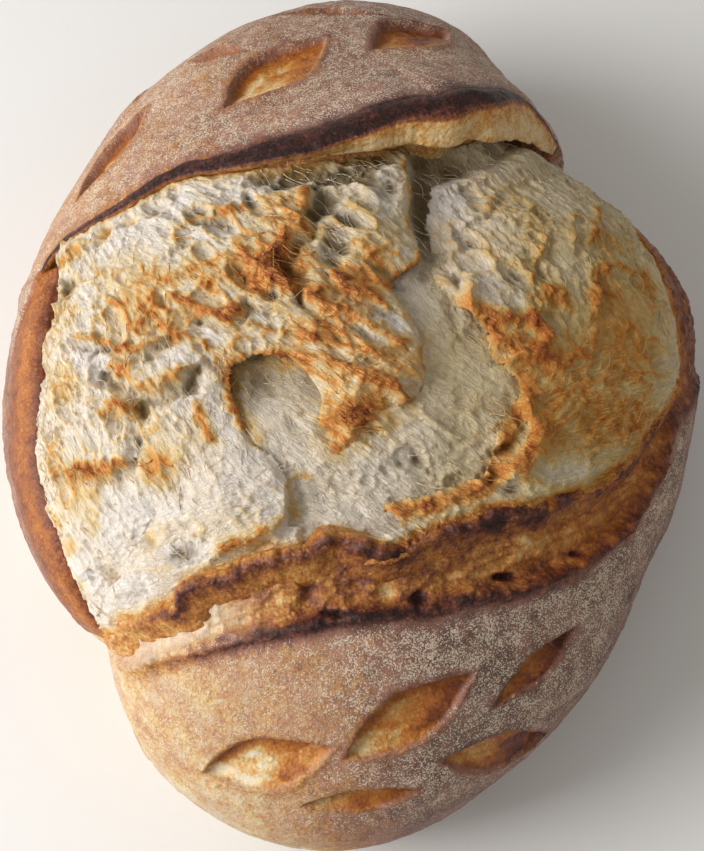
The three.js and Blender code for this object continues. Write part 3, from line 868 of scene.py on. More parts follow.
def fresh_material(name):
    """A new material with an empty node tree, and the tree."""
    material = bpy.data.materials.new(name)
    material.use_nodes = True
    material.node_tree.nodes.clear()
    return material, material.node_tree


# From pale crumb through gold, orange-brown and red-brown to burnt.
CRUST_COLOURS = ((0.0, "#E9DEC8"), (0.14, "#E4D2A6"), (0.28, "#D6AE6C"), (0.42, "#C08543"), (0.55, "#A16A3C"),
                 (0.68, "#7E4C37"), (0.82, "#583129"), (1.0, "#2A1614"))
CRUMB_COLOURS = ((0.0, "#ECE3DC"), (0.10, "#EBDBC4"), (0.24, "#E5C892"), (0.42, "#DF9F50"), (0.60, "#C57439"),
                 (0.78, "#88492A"), (1.0, "#41201A"))


def crust_material():
    """Baked bread crust: starch browned to a thin hard skin full of tiny blisters, so it is mottled, faintly
    glossy where it was bare, and matt and speckled white where flour was dusted on it before baking."""
    material, tree = fresh_material("baked_crust_flour_dusted")
    spot = add(tree, "ShaderNodeTexCoord").outputs["Object"]
    bake, flour, gloss = (add(tree, "ShaderNodeAttribute", {"attribute_name": name}).outputs["Fac"]
                          for name in ("bake", "flour", "gloss"))

    # Mottling about 3 mm across and 0.8 mm across, and blisters 1.5 mm across whose tops are made paler: partly their
    # own paler skin, partly a painted highlight.
    mottle = add(tree, "ShaderNodeTexNoise", {"Scale": 330.0, "Detail": 4.0, "Roughness": 0.65}, Vector=spot)
    fine = add(tree, "ShaderNodeTexNoise", {"Scale": 1250.0, "Detail": 2.0, "Roughness": 0.6}, Vector=spot)
    blister = add(tree, "ShaderNodeTexVoronoi", {"Scale": 480.0, "Randomness": 1.0}, Vector=spot)
    raised_spot = add(tree, "ShaderNodeMapRange", {"From Min": 0.42, "From Max": 0.12, "To Min": 0.0, "To Max": 1.0},
                      Value=blister.outputs["Distance"]).outputs[0]
    patch = add(tree, "ShaderNodeMapRange", {"From Min": 0.40, "From Max": 0.60}, Value=mottle.outputs["Fac"])
    blisters = add(tree, "ShaderNodeMath", {"operation": "MULTIPLY"}, n0=raised_spot, n1=patch.outputs[0])
    lively = add(tree, "ShaderNodeMath", {"operation": "MULTIPLY_ADD"}, n0=gloss, n1=-0.30, n2=0.66)
    both = add(tree, "ShaderNodeMath", {"operation": "ADD"}, n0=mottle.outputs["Fac"], n1=fine.outputs["Fac"])
    uneven = add(tree, "ShaderNodeMath", {"operation": "SUBTRACT"}, n0=both.outputs[0], n1=1.0)
    mottled = add(tree, "ShaderNodeMath", {"operation": "MULTIPLY_ADD"}, n0=uneven.outputs[0], n1=lively.outputs[0],
                  n2=bake)
    browned = add(tree, "ShaderNodeMath", {"operation": "MULTIPLY_ADD"}, n0=blisters.outputs[0], n1=-0.16,
                  n2=mottled.outputs[0])
    baked = add(tree, "ShaderNodeValToRGB", {"stops": CRUST_COLOURS}, n0=browned.outputs[0])
    # Skin that was bare as it baked is a clearer, deeper amber than skin under flour.
    clear = add(tree, "ShaderNodeMix", {"data_type": "RGBA", "blend_type": "MULTIPLY"}, n0=gloss,
                n6=baked.outputs["Color"], n7=linear("#F4CFA0"))
    gate = add(tree, "ShaderNodeMapRange", {"From Min": 0.02, "From Max": 0.22}, Value=flour)
    tinge = add(tree, "ShaderNodeTexNoise", {"Scale": 110.0, "Detail": 2.0}, Vector=spot)
    mauve = add(tree, "ShaderNodeMapRange", {"From Min": 0.38, "From Max": 0.62, "To Min": 0.14, "To Max": 0.50},
                Value=tinge.outputs["Fac"])
    tinged = add(tree, "ShaderNodeMath", {"operation": "MULTIPLY"}, n0=gate.outputs[0], n1=mauve.outputs[0])
    skin = add(tree, "ShaderNodeMix", {"data_type": "RGBA"}, n0=tinged.outputs[0], n6=clear.outputs["Result"],
               n7=linear("#B07F70"))

    # Flour grains clump into round specks of up to 0.4 mm, and the clumps gather in clouds.
    speck = add(tree, "ShaderNodeTexVoronoi", {"Scale": 2300.0, "Randomness": 1.0}, Vector=spot)
    luck = add(tree, "ShaderNodeSeparateColor", {}, n0=speck.outputs["Color"]).outputs[0]
    drift = add(tree, "ShaderNodeTexNoise", {"Scale": 260.0, "Detail": 4.0, "Roughness": 0.7}, Vector=spot)
    cloud = add(tree, "ShaderNodeMath", {"operation": "MULTIPLY_ADD"}, n0=drift.outputs["Fac"], n1=1.7, n2=-0.85)
    level = add(tree, "ShaderNodeMath", {"operation": "ADD"}, n0=flour, n1=cloud.outputs[0]).outputs[0]
    lying = add(tree, "ShaderNodeMath", {"operation": "MULTIPLY"}, n0=level, n1=0.62)
    reach = add(tree, "ShaderNodeMath", {"operation": "MULTIPLY_ADD"}, n0=luck, n1=0.45, n2=lying.outputs[0])
    over = add(tree, "ShaderNodeMath", {"operation": "MULTIPLY_ADD"}, n0=speck.outputs["Distance"], n1=-1.0,
               n2=reach.outputs[0])
    cover = add(tree, "ShaderNodeMapRange", {"From Min": 0.13, "From Max": 0.34, "To Min": 0.0, "To Max": 0.95},
                Value=over.outputs[0])
    veil = add(tree, "ShaderNodeMath", {"operation": "MULTIPLY", "use_clamp": True}, n0=level, n1=0.16)
    strewn = add(tree, "ShaderNodeMath", {"operation": "MAXIMUM"}, n0=cover.outputs[0], n1=veil.outputs[0])
    dusted = add(tree, "ShaderNodeMath", {"operation": "MULTIPLY"}, n0=strewn.outputs[0],
                 n1=gate.outputs[0]).outputs[0]
    colour = add(tree, "ShaderNodeMix", {"data_type": "RGBA"}, n0=dusted, n6=skin.outputs["Result"],
                 n7=linear("#E2CFB8"))

    matt = add(tree, "ShaderNodeMapRange", {"To Min": 0.55, "To Max": 0.32}, Value=gloss)
    dull = add(tree, "ShaderNodeMix", {}, n0=dusted, n2=matt.outputs[0], n3=0.95)

    # Fine pitting of the skin, its blisters, and the specks standing on it.
    pits = add(tree, "ShaderNodeTexNoise", {"Scale": 620.0, "Detail": 5.0, "Roughness": 0.65}, Vector=spot)
    relief = add(tree, "ShaderNodeMath", {"operation": "MULTIPLY_ADD"}, n0=blisters.outputs[0], n1=0.5,
                 n2=pits.outputs["Fac"])
    low = add(tree, "ShaderNodeBump", {"Strength": 0.8, "Distance": 0.0006}, Height=relief.outputs[0])
    top = add(tree, "ShaderNodeBump", {"Strength": 0.5, "Distance": 0.0003}, Height=dusted,
              Normal=low.outputs["Normal"])
    shader = add(tree, "ShaderNodeBsdfPrincipled", {"IOR": 1.45, "Specular IOR Level": 0.38},
                 Base_Color=colour.outputs["Result"], Roughness=dull.outputs[0], Normal=top.outputs["Normal"])
    add(tree, "ShaderNodeOutputMaterial", Surface=shader.outputs[0])
    return material


def fibre_net(tree, spot, degrees):
    """Fibres 0.7 mm wide drawn out five times along a direction, and the thin threads between them."""
    along = add(tree, "ShaderNodeMapping", {"vector_type": "TEXTURE", "Rotation": (0.0, 0.0, math.radians(degrees)),
                                            "Scale": (5.0, 1.0, 1.6)}, Vector=spot)
    noise = add(tree, "ShaderNodeTexNoise", {"Scale": 1350.0, "Detail": 2.0, "Roughness": 0.55, "Distortion": 0.6},
                Vector=along.outputs[0])
    middle = add(tree, "ShaderNodeMath", {"operation": "SUBTRACT"}, n0=noise.outputs["Fac"], n1=0.5)
    away = add(tree, "ShaderNodeMath", {"operation": "ABSOLUTE"}, n0=middle.outputs[0])
    thread = add(tree, "ShaderNodeMapRange", {"From Min": 0.015, "From Max": 0.075, "To Min": 0.75, "To Max": 0.0},
                 Value=away.outputs[0])
    return add(tree, "ShaderNodeMath", {"operation": "ADD"}, n0=noise.outputs["Fac"], n1=thread.outputs[0]).outputs[0]


def crumb_material():
    """Open sourdough crumb, torn in the oven: set starch and gluten, damp and slightly translucent, cream
    where it is thick, with painted grey-green shade in its holes, and toasted gold to brown on whatever stood up."""
    material, tree = fresh_material("torn_crumb_toasted")
    spot = add(tree, "ShaderNodeTexCoord").outputs["Object"]
    toast, deep, yellow, steep, level = (add(tree, "ShaderNodeAttribute", {"attribute_name": name}).outputs["Fac"]
                                         for name in ("toast", "deep", "yellow", "steep", "level"))

    # The fibres lie three ways, each where the dough was drawn out that way.
    slant = add(tree, "ShaderNodeMix", {}, n0=steep, n2=fibre_net(tree, spot, -36), n3=fibre_net(tree, spot, -60))
    fibre = add(tree, "ShaderNodeMix", {}, n0=level, n2=slant.outputs[0], n3=fibre_net(tree, spot, 20)).outputs[0]
    # Painted shade and highlight: the colour is darkened between the fibres and lightened along them and their threads.
    shade = add(tree, "ShaderNodeMapRange", {"From Min": 0.3, "From Max": 1.15, "To Min": 0.84, "To Max": 1.16},
                Value=fibre).outputs[0]

    mottle = add(tree, "ShaderNodeTexNoise", {"Scale": 620.0, "Detail": 4.0, "Roughness": 0.65}, Vector=spot)
    shift = add(tree, "ShaderNodeMath", {"operation": "MULTIPLY_ADD"}, n0=mottle.outputs["Fac"], n1=0.9, n2=0.12)
    grained = add(tree, "ShaderNodeMath", {"operation": "MULTIPLY_ADD"}, n0=fibre, n1=0.55, n2=shift.outputs[0])
    browned = add(tree, "ShaderNodeMath", {"operation": "MULTIPLY", "use_clamp": True}, n0=toast,
                  n1=grained.outputs[0])
    skin = add(tree, "ShaderNodeValToRGB", {"stops": CRUMB_COLOURS}, n0=browned.outputs[0])
    # Tinted yellow-grey where the yellow attribute is high, most of all towards the right-hand side.
    yellowed = add(tree, "ShaderNodeMix", {"data_type": "RGBA", "blend_type": "MULTIPLY"}, n0=yellow,
                n6=skin.outputs["Color"], n7=linear("#E3D9B2"))
    # Painted shade: the colour is darkened towards grey-green where the shade attribute is high, in hollows and under
    # the ear.
    hollow = add(tree, "ShaderNodeMix", {"data_type": "RGBA", "blend_type": "MULTIPLY"}, n0=deep,
                 n6=yellowed.outputs["Result"], n7=linear("#9A8E74"))
    fibred = add(tree, "ShaderNodeVectorMath", {"operation": "SCALE"}, n0=hollow.outputs["Result"], Scale=shade)

    bump = add(tree, "ShaderNodeBump", {"Strength": 0.8, "Distance": 0.0005}, Height=fibre)
    shader = add(tree, "ShaderNodeBsdfPrincipled",
                 {"IOR": 1.42, "Roughness": 0.6, "Specular IOR Level": 0.35, "Subsurface Weight": 0.12,
                  "Subsurface Radius": (1.0, 0.75, 0.5), "Subsurface Scale": 0.0012},
                 Base_Color=fibred.outputs[0], Normal=bump.outputs["Normal"])
    add(tree, "ShaderNodeOutputMaterial", Surface=shader.outputs[0])
    return material


def floor_material():
    """Matt painted board, pale and even."""
    material, tree = fresh_material("pale_matt_board")
    shader = add(tree, "ShaderNodeBsdfPrincipled", {"Base Color": linear("#F4F3F1"), "Roughness": 0.9})
    add(tree, "ShaderNodeOutputMaterial", Surface=shader.outputs[0])
    return material


FINISHES = {}


def finish_of(maker):
    """The material that a function makes, made once."""
    if maker.__name__ not in FINISHES:
        FINISHES[maker.__name__] = maker()
    return FINISHES[maker.__name__]


# ---------------------------------------------------------------------------------------------------
# Pieces.
# ---------------------------------------------------------------------------------------------------


# Distances on the flat disc, of which 1 is the waist and 2 the foot's edge.
RING_GAP = 0.0076  # between the crust's rings
INNER_RING = 0.21  # the crust's rings begin here, under the crumb
FOOT_EDGE = 1.999


def build_body(steps):
    """The loaf's body: a profile spun into a disc that stands for the peeled crust, then shaped in the round."""
    deselect()
    shares = np.concatenate([np.linspace(0, 0.2, 5)[1:], np.arange(0.2 + RING_GAP, 1.04, RING_GAP),
                             np.linspace(1.05, 2, 20), np.array([2.2, 2.6, 3.0])])
    bpy.ops.mesh.primitive_plane_add(size=1)
    body = named("loaf_body")
    edit(body)
    bpy.ops.mesh.merge(type="CENTER")
    for _ in shares:
        bpy.ops.mesh.extrude_region_move(TRANSFORM_OT_translate={"value": (1, 0, 0)})
    done_editing()
    line = np.zeros((len(shares) + 1, 3))
    line[1:, 0] = shares
    body.data.vertices.foreach_set("co", line.ravel())
    edit(body)
    bpy.ops.mesh.select_all(action="SELECT")
    bpy.ops.mesh.spin(steps=steps, angle=2 * math.pi, center=(0, 0, 0), axis=(0, 0, 1))
    bpy.ops.mesh.select_all(action="SELECT")
    bpy.ops.mesh.remove_doubles(threshold=1e-5)
    done_editing()

    # Close the disc under the foot, where its outer ring meets.
    flat = places(body)
    pick(body, "vertices", np.hypot(flat[:, 0], flat[:, 1]) > shares[-1] - 0.01)
    edit(body)
    bpy.ops.mesh.merge(type="CENTER")
    done_editing()

    # Halve the mesh's faces round the cuts and along the bare band, where the crust is torn.
    x, y, radius = on_map(body)
    fine = np.zeros(len(x), bool)
    for cut in CUTS:
        u, v = turned(x - cut["x"], y - cut["y"], cut["turn"])
        fine |= (2 * u / cut["length"]) ** 2 + (2 * v / cut["width"]) ** 2 < 1.35
    at = np.nonzero((y < -30) & (radius > 0.3) & (radius < 1.05))[0]
    from_rim, _ = beside(RIM_LINE, x[at], y[at])
    fine[at] |= (from_rim > -3) & (from_rim < 17)
    fine &= (radius > INNER_RING) & (radius < 1.02)
    pick(body, "vertices", fine)
    edit(body)
    bpy.ops.mesh.subdivide(number_cuts=1)
    done_editing()

    x, y, radius = on_map(body)
    height, bake, flour, gloss = crust_surface(x, y)
    where = raised(x, y, height * ease(radius, 1.98, 1.85))
    where[foot_middle(body, radius)] = (*SHIFT, 0)
    where[:, 2] = np.maximum(where[:, 2], 0)
    where[radius > FOOT_EDGE, 2] = 0
    place(body, where)
    record(body, bake=bake, flour=flour, gloss=gloss)
    return body


def on_map(body):
    """The flat disc's vertices as places on the map, and their distance from its middle, 1 at the waist."""
    flat = places(body)
    scale = MAP_STRETCH * waist_radius(np.arctan2(flat[:, 1], flat[:, 0]))
    return flat[:, 0] * scale, flat[:, 1] * scale, np.hypot(flat[:, 0], flat[:, 1])


def foot_middle(body, radius):
    """The vertex that the disc's outer ring was merged into: near the centre, but joined to the ring at 2.6."""
    ends = edge_ends(body)
    far, near = radius[ends] > 2.5, radius[ends] < 0.1
    odd = np.nonzero(far.any(1) & near.any(1))[0][0]
    return ends[odd][near[odd]][0]


CUTS_AT_ONCE = 24  # a tube gets its rings in two rounds, this many to each length in the first


def sweep_blank(name, around, rings):
    """A closed tube of unit size with its rings along Z, to be shaped as a lip."""
    deselect()
    bpy.ops.mesh.primitive_cylinder_add(vertices=around, radius=1, depth=1, end_fill_type="TRIFAN")
    piece = named(name)
    for cuts in (CUTS_AT_ONCE, max(1, rings // (CUTS_AT_ONCE + 1))):
        pick(piece, "edges", upright_edges(piece))
        edit(piece, "EDGE")
        bpy.ops.mesh.subdivide(number_cuts=cuts)
        done_editing()
    return piece


LIP_GIRTH = 26  # about how many mm it is round a lip's section


def build_lip(name, line, section, around, rings, seed, jag, bumps, nose):
    """A torn lip: a rounded section carried along a line on the map. section(columns, seat) gives the section's
    points as (across, height) pairs, starting behind the lip and going over it. Returned with the piece are each
    vertex's place round the section, its distance along the line, the line's columns there, and its girth."""
    piece = sweep_blank(name, around, rings)
    flat = places(piece)
    along = flat[:, 2] + 0.5
    turn = (np.arctan2(flat[:, 1], flat[:, 0]) / (2 * np.pi)) % 1.0
    core = np.hypot(flat[:, 0], flat[:, 1]) < 0.5  # the two end caps' middles

    lengths = np.concatenate([[0], np.cumsum(np.hypot(*np.diff(line[:, :2], axis=0).T))])
    seat = along * lengths[-1]
    columns = np.column_stack([np.interp(seat, lengths, line[:, c]) for c in range(line.shape[1])])
    ahead = np.column_stack([np.interp(seat + 2, lengths, line[:, c]) - np.interp(seat - 2, lengths, line[:, c])
                             for c in range(2)])
    ahead /= np.maximum(np.hypot(ahead[:, 0], ahead[:, 1]), 1e-6)[:, None]
    left = np.column_stack([-ahead[:, 1], ahead[:, 0]])

    outline = section(columns, seat)
    count = outline.shape[1]
    spot = turn * count
    i = np.floor(spot).astype(int) % count
    f = (spot - np.floor(spot))[:, None]
    rows = np.arange(len(turn))
    p0, p1 = outline[rows, (i - 1) % count], outline[rows, i]
    p2, p3 = outline[rows, (i + 1) % count], outline[rows, (i + 2) % count]
    shape = 0.5 * (2 * p1 + (p2 - p0) * f + (2 * p0 - 5 * p1 + 4 * p2 - p3) * f ** 2
                   + (3 * p1 - p0 - 3 * p2 + p3) * f ** 3)
    shape = np.where(core[:, None], outline.mean(1), shape)

    # The torn front edge is ragged, and the whole lip wanders and is bumpy.
    level = np.zeros(len(seat)) + seed
    shape[:, 0] += bumps * (0.9 * grain(seat, level, 11, seed + 20) + 0.3 * grain(seat, level, 3, seed + 21))
    girth = turn * LIP_GIRTH
    shape[:, 0] -= jag * rough(seat, level, 5, seed, 4, 0.6) * bell(turn - nose, 0.16)
    to_crust = mix(0.25, 1, ease(turn, 0.10, 0.26))
    shape[:, 1] += to_crust * bumps * rough(seat, girth, 3.2, seed + 5, 4, 0.6)
    shape[:, 0] += 0.5 * bumps * rough(seat, girth, 2.6, seed + 9, 3, 0.6)
    closing = ease(np.minimum(along, 1 - along), 0, 0.012)
    shape = mix(outline.mean(1), shape, mix(0.15, 1, closing)[:, None])
    x = columns[:, 0] + left[:, 0] * shape[:, 0]
    y = columns[:, 1] + left[:, 1] * shape[:, 0]
    place(piece, raised(x, y, shape[:, 1] + crust_swell(x, y)))
    return piece, turn, seat, columns, girth


def outline_of(lift, rows):
    """A lip's section at each vertex, from rows of (across, height) that may be numbers or vary with the lift."""
    return np.stack([np.stack([across + 0 * lift, height + 0 * lift], -1) for across, height in rows], 1)


def build_ear():
    """The ear: the burnt outer edge of the flap, the torn ivory face below it, and its hooked right-hand end."""
    def section(columns, seat):
        lift, burnt, face = columns[:, 2], columns[:, 3], columns[:, 4]
        drop = 1.6 + 0.62 * lift
        face = mix(-0.5 * drop, face, ease(face, 0.7, 1.8))
        crust = lift * bell(burnt + 1.5, 20.0)
        face = face * (1 + 0.35 * rough(seat, 0 * seat + 2, 6, 303, 3))
        return outline_of(lift, (
            (burnt + 4.0, crust - 3.0), (burnt + 2.5, crust - 1.1), (burnt + 0.5, crust - 0.2),
            (0.66 * burnt, lift + 0.2), (0.33 * burnt, lift + 0.35), (0.02 * burnt, lift + 0.1),
            (-0.30 * face - 0.5, lift - 0.22 * drop), (-0.62 * face - 0.6, lift - 0.5 * drop),
            (-0.95 * face - 0.5, lift - 0.8 * drop), (-0.75 * face, lift - drop),
            (1.0 + 0.3 * drop, lift - 1.1 * drop), (3.0 + 0.3 * drop, -5), (burnt + 2.0, -6), (burnt + 4.5, -5)))
    piece, turn, seat, columns, girth = build_lip("ear_lip", EAR_LINE, section, 100, 620, 301, 0.8, 0.30, 0.5)
    strength = ease(columns[:, 0], -78, -5)
    blotch = rough(seat, girth, 7, 311, 4)
    fleck = rough(seat / 1.6, girth, 1.6, 312, 3)
    thinning = ease(columns[:, 0], 50, 58)
    streak = rough(seat / 5, girth, 1.4, 313, 3)
    top = 0.84 + 0.16 * strength + 0.14 * blotch + 0.10 * fleck + 0.16 * streak - 0.22 * thinning
    red_line = bell(turn - 0.365, 0.022)
    bake = mix(top, 0.56, 0.7 * red_line)
    under = ease(turn, 0.365, 0.40)
    ivory = 0.22 + 0.10 * blotch + 0.10 * fleck + 0.20 * (1 - strength) + 0.12 * bell(turn - 0.41, 0.03)
    # The underside is darker: partly its own orange-brown torn crust, partly painted shade under the ear.
    ivory = mix(ivory, 0.62 + 0.1 * fleck, ease(turn, 0.63, 0.70))
    bake = mix(bake, ivory, under)
    flour = 0.24 * ease(turn + 0.03 * blotch, 0.22, 0.09)
    record(piece, bake=np.clip(bake, 0, 1), flour=flour, gloss=mix(0.25, 0.4, under))
    return piece


def build_ridge():
    """The front ridge: a low jagged lip, orange where the crumb tore from it and burnt along its crest."""
    def section(columns, seat):
        lift = columns[:, 2] * (1 + 0.35 * rough(seat, 0 * seat + 4, 7, 402, 3) + 0.2 * grain(seat, 0 * seat, 2.4, 403))
        lean = 1.0 + 0.25 * lift
        return outline_of(lift, (
            (-6.5, -4.5), (-5.6, -1.6), (-4.2, -0.2 + 0.05 * lift), (-2.4, 0.40 * lift), (-1.0, 0.86 * lift),
            (0.3, lift + 0.1), (lean, lift - 1.0), (lean + 0.6, 0.35 * lift - 0.6), (lean + 1.6, -2.2),
            (lean + 1.0, -5), (0, -7), (-4, -7)))
    piece, turn, seat, columns, girth = build_lip("front_ridge", RIDGE_LINE, section, 80, 1150, 401, -1.3, 0.62,
                                                  0.42)
    blotch = rough(seat, girth, 6, 411, 4)
    fleck = rough(seat, girth, 1.6, 412, 3)
    dark = ease(columns[:, 0], -66, -30)
    outside = ease(turn, 0.34, 0.24)
    mass = bell(columns[:, 0] - 36, 17)
    crest = bell(turn - 0.38 + 0.05 * mass, 0.10 + 0.09 * mass)
    inside = ease(turn, 0.42, 0.54)
    fine_fleck = rough(seat, girth * 0.7, 0.9, 413, 2)
    bake = 0.50 + 0.16 * blotch + 0.12 * fleck + 0.08 * fine_fleck
    bake = bake + (0.10 + 0.24 * dark + 0.14 * mass) * crest * (0.7 + 0.6 * blotch)
    bake = bake - 0.12 * inside - 0.18 * (1 - dark) + 0.16 * ease(columns[:, 0], 55, 72)
    bake = bake - 0.25 * np.clip(fleck - 0.25, 0, 1) * outside
    record(piece, bake=np.clip(bake, 0, 1), flour=0.0, gloss=0.35 + 0.25 * ease(columns[:, 0], 45, 65))
    return piece


def flat_sheet(name, edge, spacing, ragged, seed):
    """A sheet on the map inside a closed edge, with a skirt of three rings drawn to a point below."""
    low, high = edge[:, :2].min(0) - 2, edge[:, :2].max(0) + 2
    nx, ny = (int(n) for n in np.ceil((high - low) / spacing))
    deselect()
    bpy.ops.mesh.primitive_grid_add(x_subdivisions=nx, y_subdivisions=ny, size=2)
    piece = named(name)
    flat = places(piece)
    flat[:, :2] = low + (flat[:, :2] + 1) / 2 * (high - low)
    piece.data.vertices.foreach_set("co", flat.ravel())
    side, _ = beside(edge, flat[:, 0], flat[:, 1])
    side = side + ragged * rough(flat[:, 0], flat[:, 1], 4.5, seed, 4, 0.6)
    keep = (side > 0).reshape(ny + 1, nx + 1)
    cell = keep[:-1, :-1] & keep[1:, :-1] & keep[:-1, 1:] & keep[1:, 1:]
    cell = single_patch(cell)
    middles = np.empty(3 * len(piece.data.polygons))
    piece.data.polygons.foreach_get("center", middles)
    middles = middles.reshape(-1, 3)
    column = np.floor((middles[:, 0] - low[0]) / (high[0] - low[0]) * nx).astype(int)
    row = np.floor((middles[:, 1] - low[1]) / (high[1] - low[1]) * ny).astype(int)
    pick(piece, "polygons", ~cell[row, column])
    edit(piece, "FACE")
    bpy.ops.mesh.delete(type="FACE")
    bpy.ops.mesh.select_mode(type="VERT")
    bpy.ops.mesh.select_all(action="DESELECT")
    bpy.ops.mesh.select_non_manifold()
    for _ in range(4):
        bpy.ops.mesh.extrude_region_move(TRANSFORM_OT_translate={"value": (0, 0, -1)})
    bpy.ops.mesh.merge(type="CENTER")
    done_editing()
    return piece


def single_patch(cell):
    """Keep the largest patch of a grid of cells, with no holes and no corners that only touch."""
    cell = np.pad(cell, 1)
    for _ in range(6):
        filled = cell.astype(int)
        beside_it = filled[:-2, 1:-1] + filled[2:, 1:-1] + filled[1:-1, :-2] + filled[1:-1, 2:]
        inner = cell[1:-1, 1:-1]
        cell[1:-1, 1:-1] = (inner & (beside_it >= 2)) | (beside_it >= 3)
        a, b, c, d = cell[:-1, :-1], cell[:-1, 1:], cell[1:, :-1], cell[1:, 1:]
        crossed = (a & d & ~b & ~c) | (b & c & ~a & ~d)
        rows, columns = np.nonzero(crossed)
        for i, j in ((0, 0), (0, 1), (1, 0), (1, 1)):
            cell[rows + i, columns + j] = False
    outer = spread(~cell, (0, 0))
    cell = ~outer
    middle = np.argwhere(cell)
    seed = middle[np.argmin(np.abs(middle - middle.mean(0)).sum(1))]
    return spread(cell, tuple(seed))[1:-1, 1:-1]


def spread(free, start):
    """All the free cells that can be reached from a start."""
    reached = np.zeros_like(free)
    reached[start] = True
    while True:
        grown = reached.copy()
        for axis in (0, 1):
            for backwards in (False, True):
                run = np.flip(grown, axis) if backwards else grown
                open_run = np.flip(free, axis) if backwards else free
                run, open_run = np.moveaxis(run, axis, 0), np.moveaxis(open_run, axis, 0)
                for i in range(1, len(run)):
                    run[i] |= run[i - 1] & open_run[i]
        grown &= free
        if (grown == reached).all():
            return reached
        reached = grown


SKIRT_POINT = -14.0  # mm over the dome, where a sheet's skirt is drawn together


def build_sheet(name, edge, macro, spacing, ragged, seed, skirt, detail=1.0):
    """A closed sheet of torn crumb. macro(x, y, inside) is its height over the dome before the fine relief."""
    edge = smooth_line(edge, 1.0)
    edge = np.vstack([edge, edge[:1]])
    piece = flat_sheet(name, edge, spacing, ragged, seed)
    flat = places(piece)
    x, y, layer = flat[:, 0].copy(), flat[:, 1].copy(), np.rint(-flat[:, 2]).astype(int)
    inside, _, inward = from_line(edge, x, y)
    relief, walls = drawn_crumb(x, y, 500)
    toast = crumb_finish(x, y, relief, walls, detail)
    swell = 0.7 * rough(x, y, 16, seed + 3, 3)
    height = macro(x, y, np.maximum(inside, 0)) + detail * relief + swell

    # The fine relief leans with the pull of the dough, so that its walls overhang a little.
    lean = 0.45 * detail * walls
    ring = np.clip(layer, 0, 4)
    drop = np.array([0, *skirt, skirt[-1] + 2.0])[ring]
    inset = np.array([0, 0.5, 1.6, 3.0, 0])[ring]
    x = x + 0.6 * lean + inset * inward[:, 0]
    y = y - 0.5 * lean + inset * inward[:, 1]
    height = np.where(layer >= 4, SKIRT_POINT, height - drop)
    place(piece, raised(x, y, height))
    # Painted shade: darker in the relief's pits and on the skirt under the sheet's edge.
    deep = np.clip(ease(-relief, 0.6, 3.4) + 0.5 * (layer > 0), 0, 1)
    return piece, x, y, toast, deep, inside, height


def points_beside(line, gap):
    """Points along a lip's line, moved to its left by a gap."""
    line = line[::6, :2]
    ahead = np.gradient(line, axis=0)
    ahead /= np.hypot(ahead[:, 0], ahead[:, 1])[:, None]
    return line + gap * np.column_stack([-ahead[:, 1], ahead[:, 0]])


def past_ear(x, y):
    """Distance behind the ear's line."""
    return beside(EAR_LINE, x, y)[0]


def past_ridge(x, y):
    """Distance in front of the ridge's line."""
    return -beside(RIDGE_LINE, x, y)[0]


def build_left_crumb():
    """The left-hand crumb: the large toasted sheet, whose torn edge hangs over the fault and the hollow."""
    top = points_beside(EAR_LINE, 2.5)
    top = top[(top[:, 0] < 14) & (top[:, 0] > -78)][::-1]
    bottom = points_beside(RIDGE_LINE, -0.5)
    bottom = bottom[(bottom[:, 0] < -9) & (bottom[:, 0] > -74)]
    # Anticlockwise: along the ridge, up the fault, back under the ear, down the left side.
    edge = np.vstack([bottom, FAULT_LOWER[::-1, :2], FAULT[::-1, :2], top, LEFT_EDGE[::-1, :2]])

    def macro(x, y, inside):
        dome_rise = 5.2 * ease(inside, -2, 14) ** 0.5 - 0.8
        to_rim = ease(waist_share(x, y), 0.7, 0.92)
        under_ear = ease(past_ear(x, y), -9, 0)
        to_ridge = ease(past_ridge(x, y), -7, 0)
        rise = mix(dome_rise, np.minimum(dome_rise, 2.6), to_rim)
        hanging = ease(beside(LIPS[0][0], x, y)[0], 0.5, 3.0) * (x > -12) * (y < -10) * (y > -50)
        rise = rise - hanging * (2.0 + 0.10 * np.maximum(-20 - y, 0))
        return rise - mix(-0.5, 3.5, ease(x, -14, 10)) * under_ear - 2.5 * to_ridge - 1.4 * bell(inside, 1.2)
    piece, x, y, toast, deep, inside, _ = build_sheet("crumb_left", edge, macro, 0.36, 0.9, 601, (1.0, 4.0, 9.0))
    torn = bell(inside, 1.8) * ease(x, -40, -5) * ease(past_ridge(x, y), -3, -8)
    toast = np.maximum(toast, 0.5 * torn * ease(rough(x, y, 7, 611, 4), -0.1, 0.5))
    near_ridge = ease(past_ridge(x, y), -6.5, -0.5)
    toast = np.maximum(toast, (0.55 + 0.2 * rough(x, y, 3, 612, 3)) * near_ridge)
    near_ear = ease(past_ear(x, y), -3.5, 0)
    toast = np.maximum(toast, 0.30 * near_ear)
    shaded = 0.8 * ease(past_ear(x, y), -6, -1) * ease(x, -24, -6) * ease(grain(x, y, 4, 613), -0.5, 0.1)
    record_crumb(piece, x, y, toast=np.clip(toast, 0, 1), deep=np.clip(deep + shaded, 0, 1),
                 yellow=0.10 + 0.35 * ease(x, -20, 15) * ease(y, 5, 20))
    return piece


